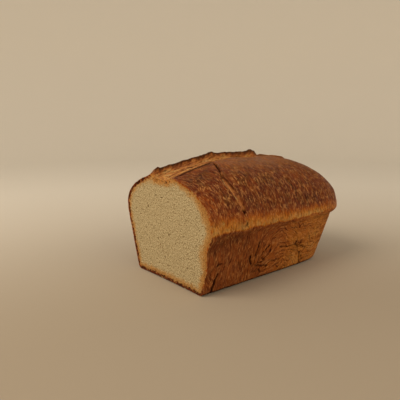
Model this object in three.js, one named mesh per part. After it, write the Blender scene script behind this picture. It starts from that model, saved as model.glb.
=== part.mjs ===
// A tin loaf with one end cut off, as a single closed solid.
//
// Millimetres, +Z up. X runs along the loaf, from the flat cut face to the baked
// end. The front long side faces -Y. The loaf stands on its flat base, and the
// origin is under the middle of its bounding box.
//
// The crust is one skin. A profile starts at the base, climbs the tin wall to the
// rim line, where the dough spilled over, and closes over the dome. It sweeps along
// the front side, round the baked end and back along the other side. On top, one
// long slash has torn open: it leaves a sunken band with a raised ear behind it.

import * as THREE from 'three';
import { mergeVertices } from 'three/addons/utils/BufferGeometryUtils.js';

const { sin, cos, acos, abs, min, max, sqrt, exp, PI } = Math;

// ---- driving dimensions -------------------------------------------------------

// The line over the top of the loaf where the profiles of both sides meet.
const SPINE_LENGTH = 138;
const SPINE_Y = 6;

// Height of the dome above the base, from the cut face to the middle of the loaf.
const CROWN_AT_CUT = 107.7;
const CROWN_RISE = 13.2;
const CROWN_RISE_LENGTH = 85;
const CROWN_SAG = 1.5;

// Front wall: its foot and rim measured from the middle of the base, at the cut.
const FRONT = {
  foot: 53.5,
  spread: 0.025, // widening per mm along the loaf
  flare: 0.13, // lean of the tin wall per mm of height
  rimAtCut: 60.6,
  rimFall: 0.009, // fall of the rim line per mm along the loaf
  ledge: 5, // how far the dough spilled past the rim
  ledgeHeight: 12,
  roundness: 2.1, // superellipse power of the dome
};

// Back wall: it swells without a ledge, and is widest above the rim line.
const BACK = {
  foot: 54,
  flare: 0.305,
  widest: 72,
  softening: 14,
  roundness: 2,
};

// The baked end, measured along the loaf from the cut face.
const END = {
  foot: 189,
  flare: 0.43,
  rim: 60,
  ledge: 5,
  ledgeHeight: 12,
  roundness: 2.25,
};

const FOOT_RADIUS = 4.5;

// Superellipse powers of the outline seen from above: square at the tin, round on top.
const PLAN_BASE = 5;
const PLAN_RIM = 4.6;
const PLAN_TOP = 2.25;

// The torn slash. Its front lip and the ear's edge run along the loaf.
const SLASH = {
  length: 134,
  lipAtCut: -7,
  lipDrift: 10,
  depthAtCut: 6.4,
  depthInside: 3.6,
  settle: 45, // length over which the depth settles
  fade: 28, // length over which the far end closes
  bow: 1.6, // power of the lip's bend
  lipWidth: 2.4,
  climb: 0.35, // share of the depth that the floor regains towards the ear
};
const EAR = {
  atCut: 25,
  drift: -14,
  lift: 5,
  start: 5, // length over which the edge rises from the cut
  drop: 6, // length of its sudden end
  face: 3.5, // width of the torn face below the edge
  flank: 16, // width of the slope behind the edge
  hollow: 1.6, // power of that slope's hollow curve
};
// Places where the ear's edge stands higher: distance along the loaf, rise, half length.
const EAR_PEAKS = [
  [4.5, 2.2, 3],
  [75, 2.4, 6],
  [132, 1.8, 5],
];

// The tear that runs from the lip down the front of the dome to the rim line.
// It is a curve over the profile parameter, nearest the cut at `turn`.
const TEAR = {
  x: 38.8,
  turn: 0.62,
  lowBend: 62,
  highBend: 150,
  top: 0.95,
  width: 2.6,
  depth: 1.7,
  edge: 0.9,
};

// Creases where folds of dough met the tin: ends as [along, height], width, depth.
const CREASES = [
  { from: [11.3, 17], to: [12.6, -1], width: 1.9, depth: 2.2 },
  { from: [58.2, 28], to: [62, 17], width: 1.9, depth: 1.5 },
  { from: [104, 31], to: [131, 27], width: 1.8, depth: 1.1 },
  { from: [131, 27], to: [154, 20.5], width: 1.8, depth: 1.1 },
  { from: [139, 15], to: [141, 2], width: 1.9, depth: 1.4 },
];

// A soft swelling low on the front wall, near the cut.
const BELLY = { height: 28, tall: 10, swell: 2.4, reach: 60 };

// Size of the dough's slow unevenness.
const UNEVEN = 0.55;

// ---- mesh density ------------------------------------------------------------

const SIDE_STEPS = 40;
const END_STEPS = 28;
const FOOT_ROWS = [0, 0.012, 0.035, 0.075];
const WALL_ROWS = 15;
const DOME_ROWS = 17;
const TOP_STEP = 3.2; // spacing of the top rows past the slash
const WALL_SHARE = 0.36; // share of the profile parameter that the wall takes
const TOP_SHARE = 0.7; // the slash lies above this share of it

// ---- helpers -----------------------------------------------------------------

const clamp01 = (v) => min(1, max(0, v));
const mix = (a, b, t) => a + (b - a) * t;

function ease(from, to, v) {
  const t = clamp01((v - from) / (to - from));
  return t * t * (3 - 2 * t);
}

const hump = (v, centre, half) => exp(-(((v - centre) / half) ** 2));

function distanceToSegment(px, py, [ax, ay], [bx, by]) {
  const dx = bx - ax;
  const dy = by - ay;
  const t = clamp01(((px - ax) * dx + (py - ay) * dy) / (dx * dx + dy * dy));
  return Math.hypot(px - ax - t * dx, py - ay - t * dy);
}

// ---- the profiles: distance out from the spine, and height ---------------------

function crown(x) {
  const rise = CROWN_RISE * sin((PI / 2) * clamp01(x / CROWN_RISE_LENGTH));
  return CROWN_AT_CUT + rise - CROWN_SAG * ease(CROWN_RISE_LENGTH, SPINE_LENGTH, x);
}

// How far the rounded bottom edge draws in at height z.
function footInset(z) {
  return z < FOOT_RADIUS ? FOOT_RADIUS - sqrt(FOOT_RADIUS ** 2 - (FOOT_RADIUS - z) ** 2) : 0;
}

function domePoint(reach, rise, angle, power) {
  const out = reach * max(0, cos(angle)) ** (2 / power);
  const up = rise * max(0, sin(angle)) ** (2 / power);
  return [out, up];
}

const wallPart = (t) => clamp01(t / WALL_SHARE);
const domeAngle = (t) => (PI / 2) * clamp01((t - WALL_SHARE) / (1 - WALL_SHARE));
const frontRim = (x) => FRONT.rimAtCut - FRONT.rimFall * x;

function frontReach(x) {
  return SPINE_Y + FRONT.foot + FRONT.spread * x + FRONT.flare * frontRim(x) + FRONT.ledge;
}

function frontProfile(x, t) {
  const rim = frontRim(x);
  if (t > WALL_SHARE) {
    const [out, up] = domePoint(frontReach(x), crown(x) - rim, domeAngle(t), FRONT.roundness);
    return { out, z: rim + up };
  }
  const z = rim * wallPart(t);
  const ledge = FRONT.ledge * ease(rim - FRONT.ledgeHeight, rim, z);
  const wall = FRONT.foot + FRONT.spread * x + FRONT.flare * z + ledge;
  return { out: SPINE_Y + wall - footInset(z), z };
}

function backReach() {
  return BACK.foot + BACK.flare * (BACK.widest - BACK.softening / 2) - SPINE_Y;
}

function backProfile(x, t) {
  if (t > WALL_SHARE) {
    const rise = crown(x) - BACK.widest;
    const [out, up] = domePoint(backReach(), rise, domeAngle(t), BACK.roundness);
    return { out, z: BACK.widest + up };
  }
  const z = BACK.widest * wallPart(t);
  const over = max(0, z - (BACK.widest - BACK.softening));
  const wall = BACK.foot + BACK.flare * (z - over ** 2 / (2 * BACK.softening));
  return { out: wall - footInset(z) - SPINE_Y, z };
}

function endProfile(t) {
  if (t > WALL_SHARE) {
    const reach = END.foot + END.flare * END.rim + END.ledge - SPINE_LENGTH;
    const rise = crown(SPINE_LENGTH) - END.rim;
    const [out, up] = domePoint(reach, rise, domeAngle(t), END.roundness);
    return { out, z: END.rim + up };
  }
  const z = END.rim * wallPart(t);
  const ledge = END.ledge * ease(END.rim - END.ledgeHeight, END.rim, z);
  return { out: END.foot + END.flare * z + ledge - footInset(z) - SPINE_LENGTH, z };
}

function planPower(t) {
  if (t < WALL_SHARE) return mix(PLAN_BASE, PLAN_RIM, wallPart(t));
  return mix(PLAN_RIM, PLAN_TOP, ease(WALL_SHARE, 1, t));
}

// ---- the slash on top ----------------------------------------------------------

const alongSlash = (x) => min(1, x / SLASH.length);
const lipY = (x) => SLASH.lipAtCut + SLASH.lipDrift * alongSlash(x) ** SLASH.bow;
const earY = (x) => EAR.atCut + EAR.drift * alongSlash(x);

function earLift(x) {
  const ends = ease(-EAR.start, EAR.start, x) * (1 - ease(SLASH.length, SLASH.length + EAR.drop, x));
  const peaks = EAR_PEAKS.reduce((sum, [at, rise, half]) => sum + rise * hump(x, at, half), 0);
  return ends * (EAR.lift + peaks);
}

function slashDepth(x) {
  const open = 1 - ease(SLASH.length - SLASH.fade, SLASH.length, x);
  return open * mix(SLASH.depthAtCut, SLASH.depthInside, ease(0, SLASH.settle, x));
}

// Change of height that the slash makes at a point on top of the dome.
function slashRelief(x, y) {
  const lip = lipY(x);
  const edge = earY(x);
  if (y <= lip || x > SLASH.length + EAR.drop) return 0;
  if (y >= edge) {
    return earLift(x) * (1 - clamp01((y - edge) / EAR.flank)) ** EAR.hollow;
  }
  const climb = SLASH.climb * ease(lip + SLASH.lipWidth, edge - EAR.face, y);
  const sunk = ease(lip, lip + SLASH.lipWidth, y) * (1 - climb);
  const face = ease(edge - EAR.face, edge, y);
  return mix(-slashDepth(x) * sunk, earLift(x), face);
}

// ---- relief on the front -------------------------------------------------------

// How far a crease or the tear draws the front skin in (or out, at a lifted edge).
function frontRelief(x, z, t) {
  let out = BELLY.swell * hump(z, BELLY.height, BELLY.tall) * (1 - ease(0, BELLY.reach, x));
  if (t <= WALL_SHARE) {
    for (const { from, to, width, depth } of CREASES) {
      out -= depth * max(0, 1 - distanceToSegment(x, z, from, to) / width);
    }
    return out;
  }
  const bend = t < TEAR.turn ? TEAR.lowBend : TEAR.highBend;
  const side = x - (TEAR.x + bend * (t - TEAR.turn) ** 2);
  const reach = ease(WALL_SHARE, WALL_SHARE + 0.04, t) * (1 - ease(TEAR.top, TEAR.top + 0.04, t));
  out -= reach * TEAR.depth * max(0, 1 - abs(side) / TEAR.width);
  out += reach * TEAR.edge * hump(side, 1.5 * TEAR.width, TEAR.width);
  return out;
}

// The dough's slow unevenness, in mm, fading out at the base and at the cut face.
function unevenness(x, y, z) {
  const slow = sin(x / 17 + 0.6) * sin(z / 13 + x / 40) + 0.6 * sin(x / 9.5 + y / 21 + z / 11);
  return UNEVEN * slow * ease(2, 14, z) * ease(0, 20, x);
}

// ---- rows of the skin ------------------------------------------------------------

const angleShare = (angle) => WALL_SHARE + (1 - WALL_SHARE) * (angle / (PI / 2));

// Profile parameter of the dome point that is `out` mm away from the spine.
function shareAt(out, reach, power) {
  return angleShare(acos(min(1, out / reach) ** (power / 2)));
}

function wallShares() {
  const shares = FOOT_ROWS.map((part) => part * WALL_SHARE);
  const last = FOOT_ROWS[FOOT_ROWS.length - 1];
  for (let i = 1; i <= WALL_ROWS; i++) {
    shares.push(mix(last, 1, i / WALL_ROWS) * WALL_SHARE);
  }
  return shares;
}

// Rows of a whole profile: evenly over the dome, then along the lines of the slash.
function rowShares(topDistances, reach, power) {
  const tops = topDistances.map((out) => shareAt(out, reach, power));
  const dome = [];
  for (let i = 1; i < DOME_ROWS; i++) {
    dome.push(mix(WALL_SHARE, tops[0], i / DOME_ROWS));
  }
  return [...wallShares(), ...dome, ...tops];
}

// Past the slash the rows on top drift back to even steps.
function relaxed(outs, x) {
  const past = ease(SLASH.length - 40, SLASH.length, x);
  return outs.map((out, i) => mix(out, TOP_STEP * (outs.length - 1 - i), past));
}

function frontShares(x) {
  const lip = SPINE_Y - lipY(x);
  const floor = lip - SLASH.lipWidth;
  const outs = [lip + 2.5, lip, mix(lip, floor, 0.5), floor, 0.75 * floor, floor / 2, floor / 4, 0];
  return rowShares(relaxed(outs, x), frontReach(x), FRONT.roundness);
}

function backShares(x) {
  const edge = earY(x) - SPINE_Y;
  const floor = edge - EAR.face;
  const outs = [edge + 11, edge + 5, edge + 2, edge, mix(edge, floor, 0.5), floor, floor / 2, 0];
  return rowShares(relaxed(outs, x), backReach(), BACK.roundness);
}

// ---- points of the skin ----------------------------------------------------------

// Adds the slash to a point on top, and the wall's relief to a point on the front.
function finish(x, y, z, t, outward, frontness) {
  const push = unevenness(x, y, z) + frontness * frontRelief(x, z, t);
  const level = ease(TOP_SHARE, 1, t);
  const lifted = t > TOP_SHARE ? slashRelief(x, y) : 0;
  const side = push * (1 - level);
  return new THREE.Vector3(
    max(0, x + outward.x * side),
    y + outward.y * side,
    max(0, z + push * level + lifted),
  );
}

function frontPoint(x, t) {
  const { out, z } = frontProfile(x, t);
  return finish(x, SPINE_Y - out, z, t, { x: 0, y: -1 }, 1);
}

function backPoint(x, t) {
  const { out, z } = backProfile(x, t);
  return finish(x, SPINE_Y + out, z, t, { x: 0, y: 1 }, 0);
}

// A point on the baked end, in the direction `turn` about the end of the spine.
function endPoint(turn, t) {
  const side = turn < 0 ? frontProfile(SPINE_LENGTH, t) : backProfile(SPINE_LENGTH, t);
  const end = endProfile(t);
  const along = cos(turn);
  const across = abs(sin(turn));
  const power = planPower(t);
  const sum = (along / max(end.out, 1e-6)) ** power + (across / max(side.out, 1e-6)) ** power;
  const out = t >= 1 ? 0 : sum ** (-1 / power);
  const x = SPINE_LENGTH + out * along;
  const y = SPINE_Y + out * sin(turn);
  const z = mix(end.z, side.z, across ** 2);
  const frontness = turn < 0 ? ease(0.75, 1, across) : 0;
  return finish(x, y, z, t, { x: along, y: sin(turn) }, frontness);
}

// Columns of points, from the cut along the front, round the end and back to the cut.
function skinColumns() {
  const columns = [];
  for (let i = 0; i <= SIDE_STEPS; i++) {
    const x = (SPINE_LENGTH * i) / SIDE_STEPS;
    columns.push(frontShares(x).map((t) => frontPoint(x, t)));
  }
  const frontRows = frontShares(SPINE_LENGTH);
  const backRows = backShares(SPINE_LENGTH);
  for (let i = 1; i < END_STEPS; i++) {
    const part = i / END_STEPS;
    const turn = PI * (part - 0.5);
    columns.push(frontRows.map((t, row) => endPoint(turn, mix(t, backRows[row], part))));
  }
  for (let i = SIDE_STEPS; i >= 0; i--) {
    const x = (SPINE_LENGTH * i) / SIDE_STEPS;
    columns.push(backShares(x).map((t) => backPoint(x, t)));
  }
  return columns;
}

// ---- the solid -------------------------------------------------------------------

function pushTriangle(list, a, b, c) {
  const area = b.clone().sub(a).cross(c.clone().sub(a)).length() / 2;
  if (area > 1e-6) list.push(a, b, c);
}

function addSkin(list, columns) {
  for (let i = 0; i + 1 < columns.length; i++) {
    const near = columns[i];
    const far = columns[i + 1];
    for (let row = 0; row + 1 < near.length; row++) {
      pushTriangle(list, near[row], far[row], far[row + 1]);
      pushTriangle(list, near[row], far[row + 1], near[row + 1]);
    }
  }
}

// Closes a flat rim of points with a fan about its middle. The rim runs clockwise
// as seen from outside.
function addFlatFace(list, rim, middle) {
  rim.forEach((point, i) => pushTriangle(list, middle, rim[(i + 1) % rim.length], point));
}

function loafGeometry() {
  const columns = skinColumns();
  const first = columns[0];
  const last = columns[columns.length - 1];
  const list = [];
  addSkin(list, columns);

  const base = columns.map((column) => column[0]);
  addFlatFace(list, base, new THREE.Vector3(END.foot / 2, 0, 0));

  const cut = [...last, ...first.slice(0, -1).reverse()];
  addFlatFace(list, cut, new THREE.Vector3(0, SPINE_Y, CROWN_AT_CUT / 2));

  const geometry = mergeVertices(new THREE.BufferGeometry().setFromPoints(list), 1e-4);
  geometry.computeBoundingBox();
  const { min: low, max: high } = geometry.boundingBox;
  geometry.translate(-(low.x + high.x) / 2, -(low.y + high.y) / 2, -low.z);
  geometry.computeVertexNormals();
  return geometry;
}

// ---- the scene -------------------------------------------------------------------

const crust = new THREE.MeshStandardMaterial({ color: 0x8a4a1e, roughness: 0.55, metalness: 0 });

const loaf = new THREE.Mesh(loafGeometry(), crust);
loaf.name = 'loaf';

const group = new THREE.Group();
group.add(loaf);

export default group;
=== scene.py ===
# %% [markdown]
# # A tin loaf with one end cut off
#
# A white loaf that was baked in a tin. Dough filled the tin, spilled over its rim and rose
# into a dome. A long slash on top tore open in the oven, and one end has been sliced off,
# so the crumb shows. This lesson models its skin, its cut face and its browning.
#
# The loaf's frame is loaded first. It says where the loaf stands and how big it is, and
# the model made here takes its place.

# %% The fixed frame
import itertools
import math

import bpy
import numpy as np
from mathutils.geometry import delaunay_2d_cdt
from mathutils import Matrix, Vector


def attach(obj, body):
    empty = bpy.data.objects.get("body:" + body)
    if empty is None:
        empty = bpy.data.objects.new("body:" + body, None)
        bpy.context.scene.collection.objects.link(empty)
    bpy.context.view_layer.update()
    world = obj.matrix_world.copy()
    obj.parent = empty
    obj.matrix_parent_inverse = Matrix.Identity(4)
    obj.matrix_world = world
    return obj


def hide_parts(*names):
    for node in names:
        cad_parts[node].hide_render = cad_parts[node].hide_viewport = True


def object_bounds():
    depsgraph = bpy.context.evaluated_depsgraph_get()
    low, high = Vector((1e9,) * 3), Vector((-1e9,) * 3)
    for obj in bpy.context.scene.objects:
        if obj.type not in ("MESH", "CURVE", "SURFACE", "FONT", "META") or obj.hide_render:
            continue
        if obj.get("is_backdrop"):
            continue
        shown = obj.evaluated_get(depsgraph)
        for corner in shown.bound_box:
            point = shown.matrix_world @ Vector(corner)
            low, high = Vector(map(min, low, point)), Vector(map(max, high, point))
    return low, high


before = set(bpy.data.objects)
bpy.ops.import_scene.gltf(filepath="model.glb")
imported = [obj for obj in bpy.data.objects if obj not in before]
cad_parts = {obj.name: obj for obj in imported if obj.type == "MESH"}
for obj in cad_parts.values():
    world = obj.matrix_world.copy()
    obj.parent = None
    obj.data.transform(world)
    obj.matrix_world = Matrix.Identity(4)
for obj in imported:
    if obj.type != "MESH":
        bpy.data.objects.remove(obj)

cad_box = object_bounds()
print("CAD box in mm:", [[round(1000 * v, 1) for v in corner] for corner in cad_box])

# %% [markdown]
# ## Tools for soft shapes
#
# Dough has no hard numbers, so its forms are made of soft steps and soft bumps. Noise gives
# the unevenness. It is value noise: every whole number of the coordinates gets a fixed
# random height, and the heights are blended. The same seed always gives the same crust.

# %% Soft steps, bumps and noise
MM = 0.001  # the loaf is worked out in millimetres

# Large numbers that scramble well, kept to 32 bits.
HASH_START, HASH_FACTOR, HASH_STEP, HASH_LAST = 2654435761, 73856093, 19349663, 83492791
ALL_BITS = 0xFFFFFFFF


def mix(first, second, part):
    return first + (second - first) * part


def ease(start, stop, value):
    """A soft step from 0 at `start` to 1 at `stop`."""
    part = np.clip((value - start) / (stop - start), 0, 1)
    return part * part * (3 - 2 * part)


def between(value, start, full, falling, stop):
    """1 from `full` to `falling`, easing in from `start` and out to `stop`."""
    return ease(start, full, value) * (1 - ease(falling, stop, value))


def hump(value, centre, half):
    return np.exp(-(((value - centre) / half) ** 2))


def scramble(cells, seed):
    """A fixed random number from -1 to 1 for each lattice cell."""
    mixed = np.full(cells[0].shape, (seed * HASH_START) & ALL_BITS, np.int64)
    for cell in cells:
        mixed = ((mixed ^ cell) * HASH_FACTOR + HASH_STEP) & ALL_BITS
        mixed = mixed ^ (mixed >> 15)
    mixed = (mixed * HASH_LAST) & ALL_BITS
    return (mixed ^ (mixed >> 13)) / (ALL_BITS // 2) - 1


def noise(seed, *coordinates):
    """Smooth noise from -1 to 1 that changes over about one unit of each coordinate."""
    coordinates = np.broadcast_arrays(*[np.asarray(c, float) for c in coordinates])
    cells = [np.floor(c).astype(np.int64) for c in coordinates]
    parts = [ease(0, 1, c - cell) for c, cell in zip(coordinates, cells)]
    total = 0
    for corner in itertools.product((0, 1), repeat=len(cells)):
        weight = 1
        for side, part in zip(corner, parts):
            weight = weight * (part if side else 1 - part)
        total = total + weight * scramble([c + s for c, s in zip(cells, corner)], seed)
    return total


print("noise spread:", round(float(noise(1, np.linspace(0, 900, 5000)).std()), 2))

# %% [markdown]
# ## The outline of the loaf
#
# The tin gives the lower half: a leaning wall up to the rim. Above it the dough pushes out
# over the rim as a small ledge and closes over in a dome. One profile, from the base to the
# spine on top, describes each side. It is swept along the front, round the baked end and
# back along the other side. A superellipse, a circle with adjustable squareness, gives both
# the dome and the corners of the tin, so a few sizes hold the whole form.
#
# In this frame x runs from the cut face to the baked end, y = 0 is the middle of the base,
# the front faces -y and z is the height.

# %% Sizes of the tin and the dome, in millimetres
# Flare, spread and fall are millimetres for each millimetre of height or length. Roundness
# and PLAN values are powers of a superellipse: 2 is round, and more is squarer.
SPINE_LENGTH = 138
SPINE_Y = 6
CROWN_AT_CUT = 107.7
CROWN_RISE = 13.2
CROWN_RISE_LENGTH = 85
CROWN_SAG = 1.5
FOOT_RADIUS = 4.5

FRONT_FOOT = 53.5
FRONT_SPREAD = 0.025
FRONT_FLARE = 0.13
FRONT_RIM = 60.6
FRONT_RIM_FALL = 0.009
LEDGE = 5
LEDGE_HEIGHT = 18
FRONT_ROUNDNESS = 2.1

BACK_FOOT = 54
BACK_FLARE = 0.305
BACK_WIDEST = 72
BACK_SOFTENING = 14
BACK_ROUNDNESS = 2

END_FOOT = 189
END_FLARE = 0.45
END_RIM = 60
END_LEDGE = 3.8
END_LEDGE_HEIGHT = 7
END_ROUNDNESS = 2.25

PLAN_BASE = 4.1
PLAN_RIM = 4.6
PLAN_TOP = 2.25
WALL_SHARE = 0.36  # part of a profile that climbs the wall; the rest is dome

# %% Profiles: distance out from the spine, and height


def crown(x):
    rise = CROWN_RISE * np.sin(np.pi / 2 * np.clip(x / CROWN_RISE_LENGTH, 0, 1))
    return CROWN_AT_CUT + rise - CROWN_SAG * ease(CROWN_RISE_LENGTH, SPINE_LENGTH, x)


def foot_inset(z):
    """How far the rounded bottom edge draws in at height z."""
    below = FOOT_RADIUS - np.minimum(z, FOOT_RADIUS)
    return FOOT_RADIUS - np.sqrt(FOOT_RADIUS**2 - below**2)


def front_rim(x):
    return FRONT_RIM - FRONT_RIM_FALL * x


def front_reach(x):
    return SPINE_Y + FRONT_FOOT + FRONT_SPREAD * x + FRONT_FLARE * front_rim(x) + LEDGE


def back_reach(x):
    return BACK_FOOT + BACK_FLARE * (BACK_WIDEST - BACK_SOFTENING / 2) - SPINE_Y + 0 * x


def wall_and_dome(t, rim, top, reach, roundness, wall_out):
    """A profile at t from 0 at the base to 1 at the spine. wall_out(z) is the wall's reach."""
    wall_z = rim * np.clip(t / WALL_SHARE, 0, 1)
    angle = np.pi / 2 * np.clip((t - WALL_SHARE) / (1 - WALL_SHARE), 0, 1)
    dome_out = reach * np.clip(np.cos(angle), 0, 1) ** (2 / roundness)
    dome_z = rim + (top - rim) * np.clip(np.sin(angle), 0, 1) ** (2 / roundness)
    on_dome = t > WALL_SHARE
    return np.where(on_dome, dome_out, wall_out(wall_z)), np.where(on_dome, dome_z, wall_z)


def front_profile(x, t):
    rim = front_rim(x)
    ledge = mix(LEDGE, END_LEDGE, ease(20, SPINE_LENGTH, x))
    height = mix(LEDGE_HEIGHT, END_LEDGE_HEIGHT, ease(0, 70, x))
    flare = FRONT_FLARE + (LEDGE - ledge) / rim

    def wall_out(z):
        foot = SPINE_Y + FRONT_FOOT + FRONT_SPREAD * x - foot_inset(z)
        return foot + flare * z + ledge * ease(rim - height, rim, z)

    return wall_and_dome(t, rim, crown(x), front_reach(x), FRONT_ROUNDNESS, wall_out)


def back_profile(x, t):
    def wall_out(z):
        over = np.maximum(0, z - (BACK_WIDEST - BACK_SOFTENING))
        swell = BACK_FLARE * (z - over**2 / (2 * BACK_SOFTENING))
        return BACK_FOOT + swell - foot_inset(z) - SPINE_Y

    return wall_and_dome(t, BACK_WIDEST, crown(x), back_reach(x), BACK_ROUNDNESS, wall_out)


def end_profile(t):
    def wall_out(z):
        ledge = END_LEDGE * ease(END_RIM - END_LEDGE_HEIGHT, END_RIM, z)
        return END_FOOT + END_FLARE * z + ledge - foot_inset(z) - SPINE_LENGTH

    reach = END_FOOT + END_FLARE * END_RIM + END_LEDGE - SPINE_LENGTH
    return wall_and_dome(t, END_RIM, crown(SPINE_LENGTH), reach, END_ROUNDNESS, wall_out)


def plan_power(t):
    """Squareness of the loaf seen from above: square at the tin, round on top."""
    wall = mix(PLAN_BASE, PLAN_RIM, np.clip(t / WALL_SHARE, 0, 1))
    return np.where(t < WALL_SHARE, wall, mix(PLAN_RIM, PLAN_TOP, ease(WALL_SHARE, 1, t)))


print("crown at the cut and in the middle:", crown(0), round(float(crown(85)), 1))

# %% [markdown]
# ## The torn slash on top
#
# The baker cut the dough lengthwise before baking. The oven tore that cut open: a sunken
# band of stretched crumb lies between a sharp lip and an ear, the flap of crust that stood
# up and burned at its edge. The slash is a change of height on top of the dome. It drops
# at the lip, climbs slowly over the floor, rises steeply in the ear's face, and runs out
# behind the ear in a hollow slope.

# %% The slash
SLASH_LENGTH = 134
LIP_AT_CUT = -7
LIP_DRIFT = 10
LIP_BOW = 1.6
LIP_WIDTH = 2.4
LIP_WIDTH_AT_CUT = 9
LIP_WOBBLE = 0.45
SLASH_DEPTH_AT_CUT = 4.2
SLASH_DEPTH = 3.6
SLASH_SETTLE = 45
SLASH_FADE = 28
FLOOR_CLIMB = 0.35

EAR_AT_CUT = 25
EAR_DRIFT = -14
EAR_LIFT = 5.2
EAR_RISE = 1.5  # the ear stands higher towards its far end
EAR_START = 5
EAR_DROP = 9
EAR_FACE = 3.5
EAR_FLANK = 16
EAR_HOLLOW = 1.6
EAR_CURL = 1.7  # how far the ear's edge leans over the band
EAR_PEAKS = [(4.5, 2.3, 3), (70.5, 2.0, 6), (128, 1.5, 4)]  # place, rise, half length

# Past the ear the crust keeps a low flap with a burnt edge: start and stop as x, y.
FLAP_START = (137, 8)
FLAP_STOP = (168, -10.5)
FLAP_LIFT = 1.5
FLAP_BACK = 9


def lip_y(x):
    along = np.clip(x / SLASH_LENGTH, 0, 1)
    wobble = LIP_WOBBLE * noise(11, x / 6) * ease(0, 8, x)
    return LIP_AT_CUT + LIP_DRIFT * along**LIP_BOW + wobble


def ear_y(x):
    along = np.clip(x / SLASH_LENGTH, 0, 1)
    wobble = (0.8 * noise(12, x / 9) + 0.25 * noise(13, x / 3)) * ease(0, 8, x)
    return EAR_AT_CUT + EAR_DRIFT * along + wobble


def ear_lift(x):
    start = ease(-EAR_START, EAR_START, x)
    stop = 1 - ease(SLASH_LENGTH, SLASH_LENGTH + EAR_DROP, x)
    peaks = sum(rise * hump(x, at, half) for at, rise, half in EAR_PEAKS)
    ragged = 0.4 * noise(14, x / 8) + 0.25 * noise(15, x / 2.6)
    return start * stop * (EAR_LIFT + EAR_RISE * ease(78, 120, x) + peaks + ragged)


def slash_depth(x):
    still_open = 1 - ease(SLASH_LENGTH - SLASH_FADE, SLASH_LENGTH, x)
    return still_open * mix(SLASH_DEPTH_AT_CUT, SLASH_DEPTH, ease(0, SLASH_SETTLE, x))


def slash_relief(x, y):
    """Change of height, and shift of y, that the slash makes on top of the dome."""
    lip, edge, lift = lip_y(x), ear_y(x), ear_lift(x)
    width = mix(LIP_WIDTH_AT_CUT, LIP_WIDTH, ease(0, 9, x))
    climb = FLOOR_CLIMB * ease(lip + width, edge - EAR_FACE, y)
    sunk = ease(lip, lip + width, y) * (1 - climb)
    inside = mix(-slash_depth(x) * sunk, lift, ease(edge - EAR_FACE, edge, y))
    flank = lift * np.clip(1 - (y - edge) / EAR_FLANK, 0, 1) ** EAR_HOLLOW
    height = np.where(y >= edge, flank, np.where(y <= lip, 0, inside))
    curl = -EAR_CURL * np.clip(lift / EAR_LIFT, 0, 1.3) * hump(y, edge, 2.2)
    on_top = x <= SLASH_LENGTH + EAR_DROP
    return np.where(on_top, height, 0), np.where(on_top, curl, 0)


def flap_place(x, y):
    """Where a point lies along the flap, from 0 to 1, and how far behind its edge."""
    run, over = FLAP_STOP[0] - FLAP_START[0], FLAP_STOP[1] - FLAP_START[1]
    length = math.hypot(run, over)
    along = ((x - FLAP_START[0]) * run + (y - FLAP_START[1]) * over) / length**2
    behind = ((y - FLAP_START[1]) * run - (x - FLAP_START[0]) * over) / length
    return along, behind + 0.5 * noise(16, x / 5, y / 5)


def flap_relief(x, y):
    along, behind = flap_place(x, y)
    ends = ease(-0.05, 0.12, along) * (1 - ease(0.9, 1.02, along))
    back = np.clip(1 - behind / FLAP_BACK, 0, 1) ** 1.5
    uneven = 1 + 0.35 * noise(17, along * 7)
    return FLAP_LIFT * ends * uneven * ease(-1.3, -0.1, behind) * back


print("ear lift at its first peak:", round(float(ear_lift(np.array(4.5))), 1), "mm")

# %% [markdown]
# ## Tear, creases and swellings on the front
#
# A side tear runs from the lip down the front of the dome to the rim line. On the wall,
# where folds of dough met the tin, they left creases. These few marks make this loaf
# itself, so each has its own place. A crease is the distance to a short straight line,
# which gives a groove of any width. The tear is a curve over the profile.

# %% Marks on the front
TEAR_X = 38.4
# The tear's path: profile height and distance from TEAR_X.
TEAR_PATH = [
    (0.39, 4.5), (0.412, 5.6), (0.434, 3.2), (0.451, 4.8), (0.486, 4.0), (0.514, 3.1),
    (0.569, 1.8), (0.627, 1.1), (0.674, 0.0), (0.724, 0.0), (0.762, 1.8), (0.82, 7.0),
    (0.94, 16.2),
]
TEAR_TOP = 0.94
TEAR_HALF_WIDTH = 2.2
TEAR_DEPTH = 1.4
TEAR_FAR_EDGE = 0.9

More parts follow.
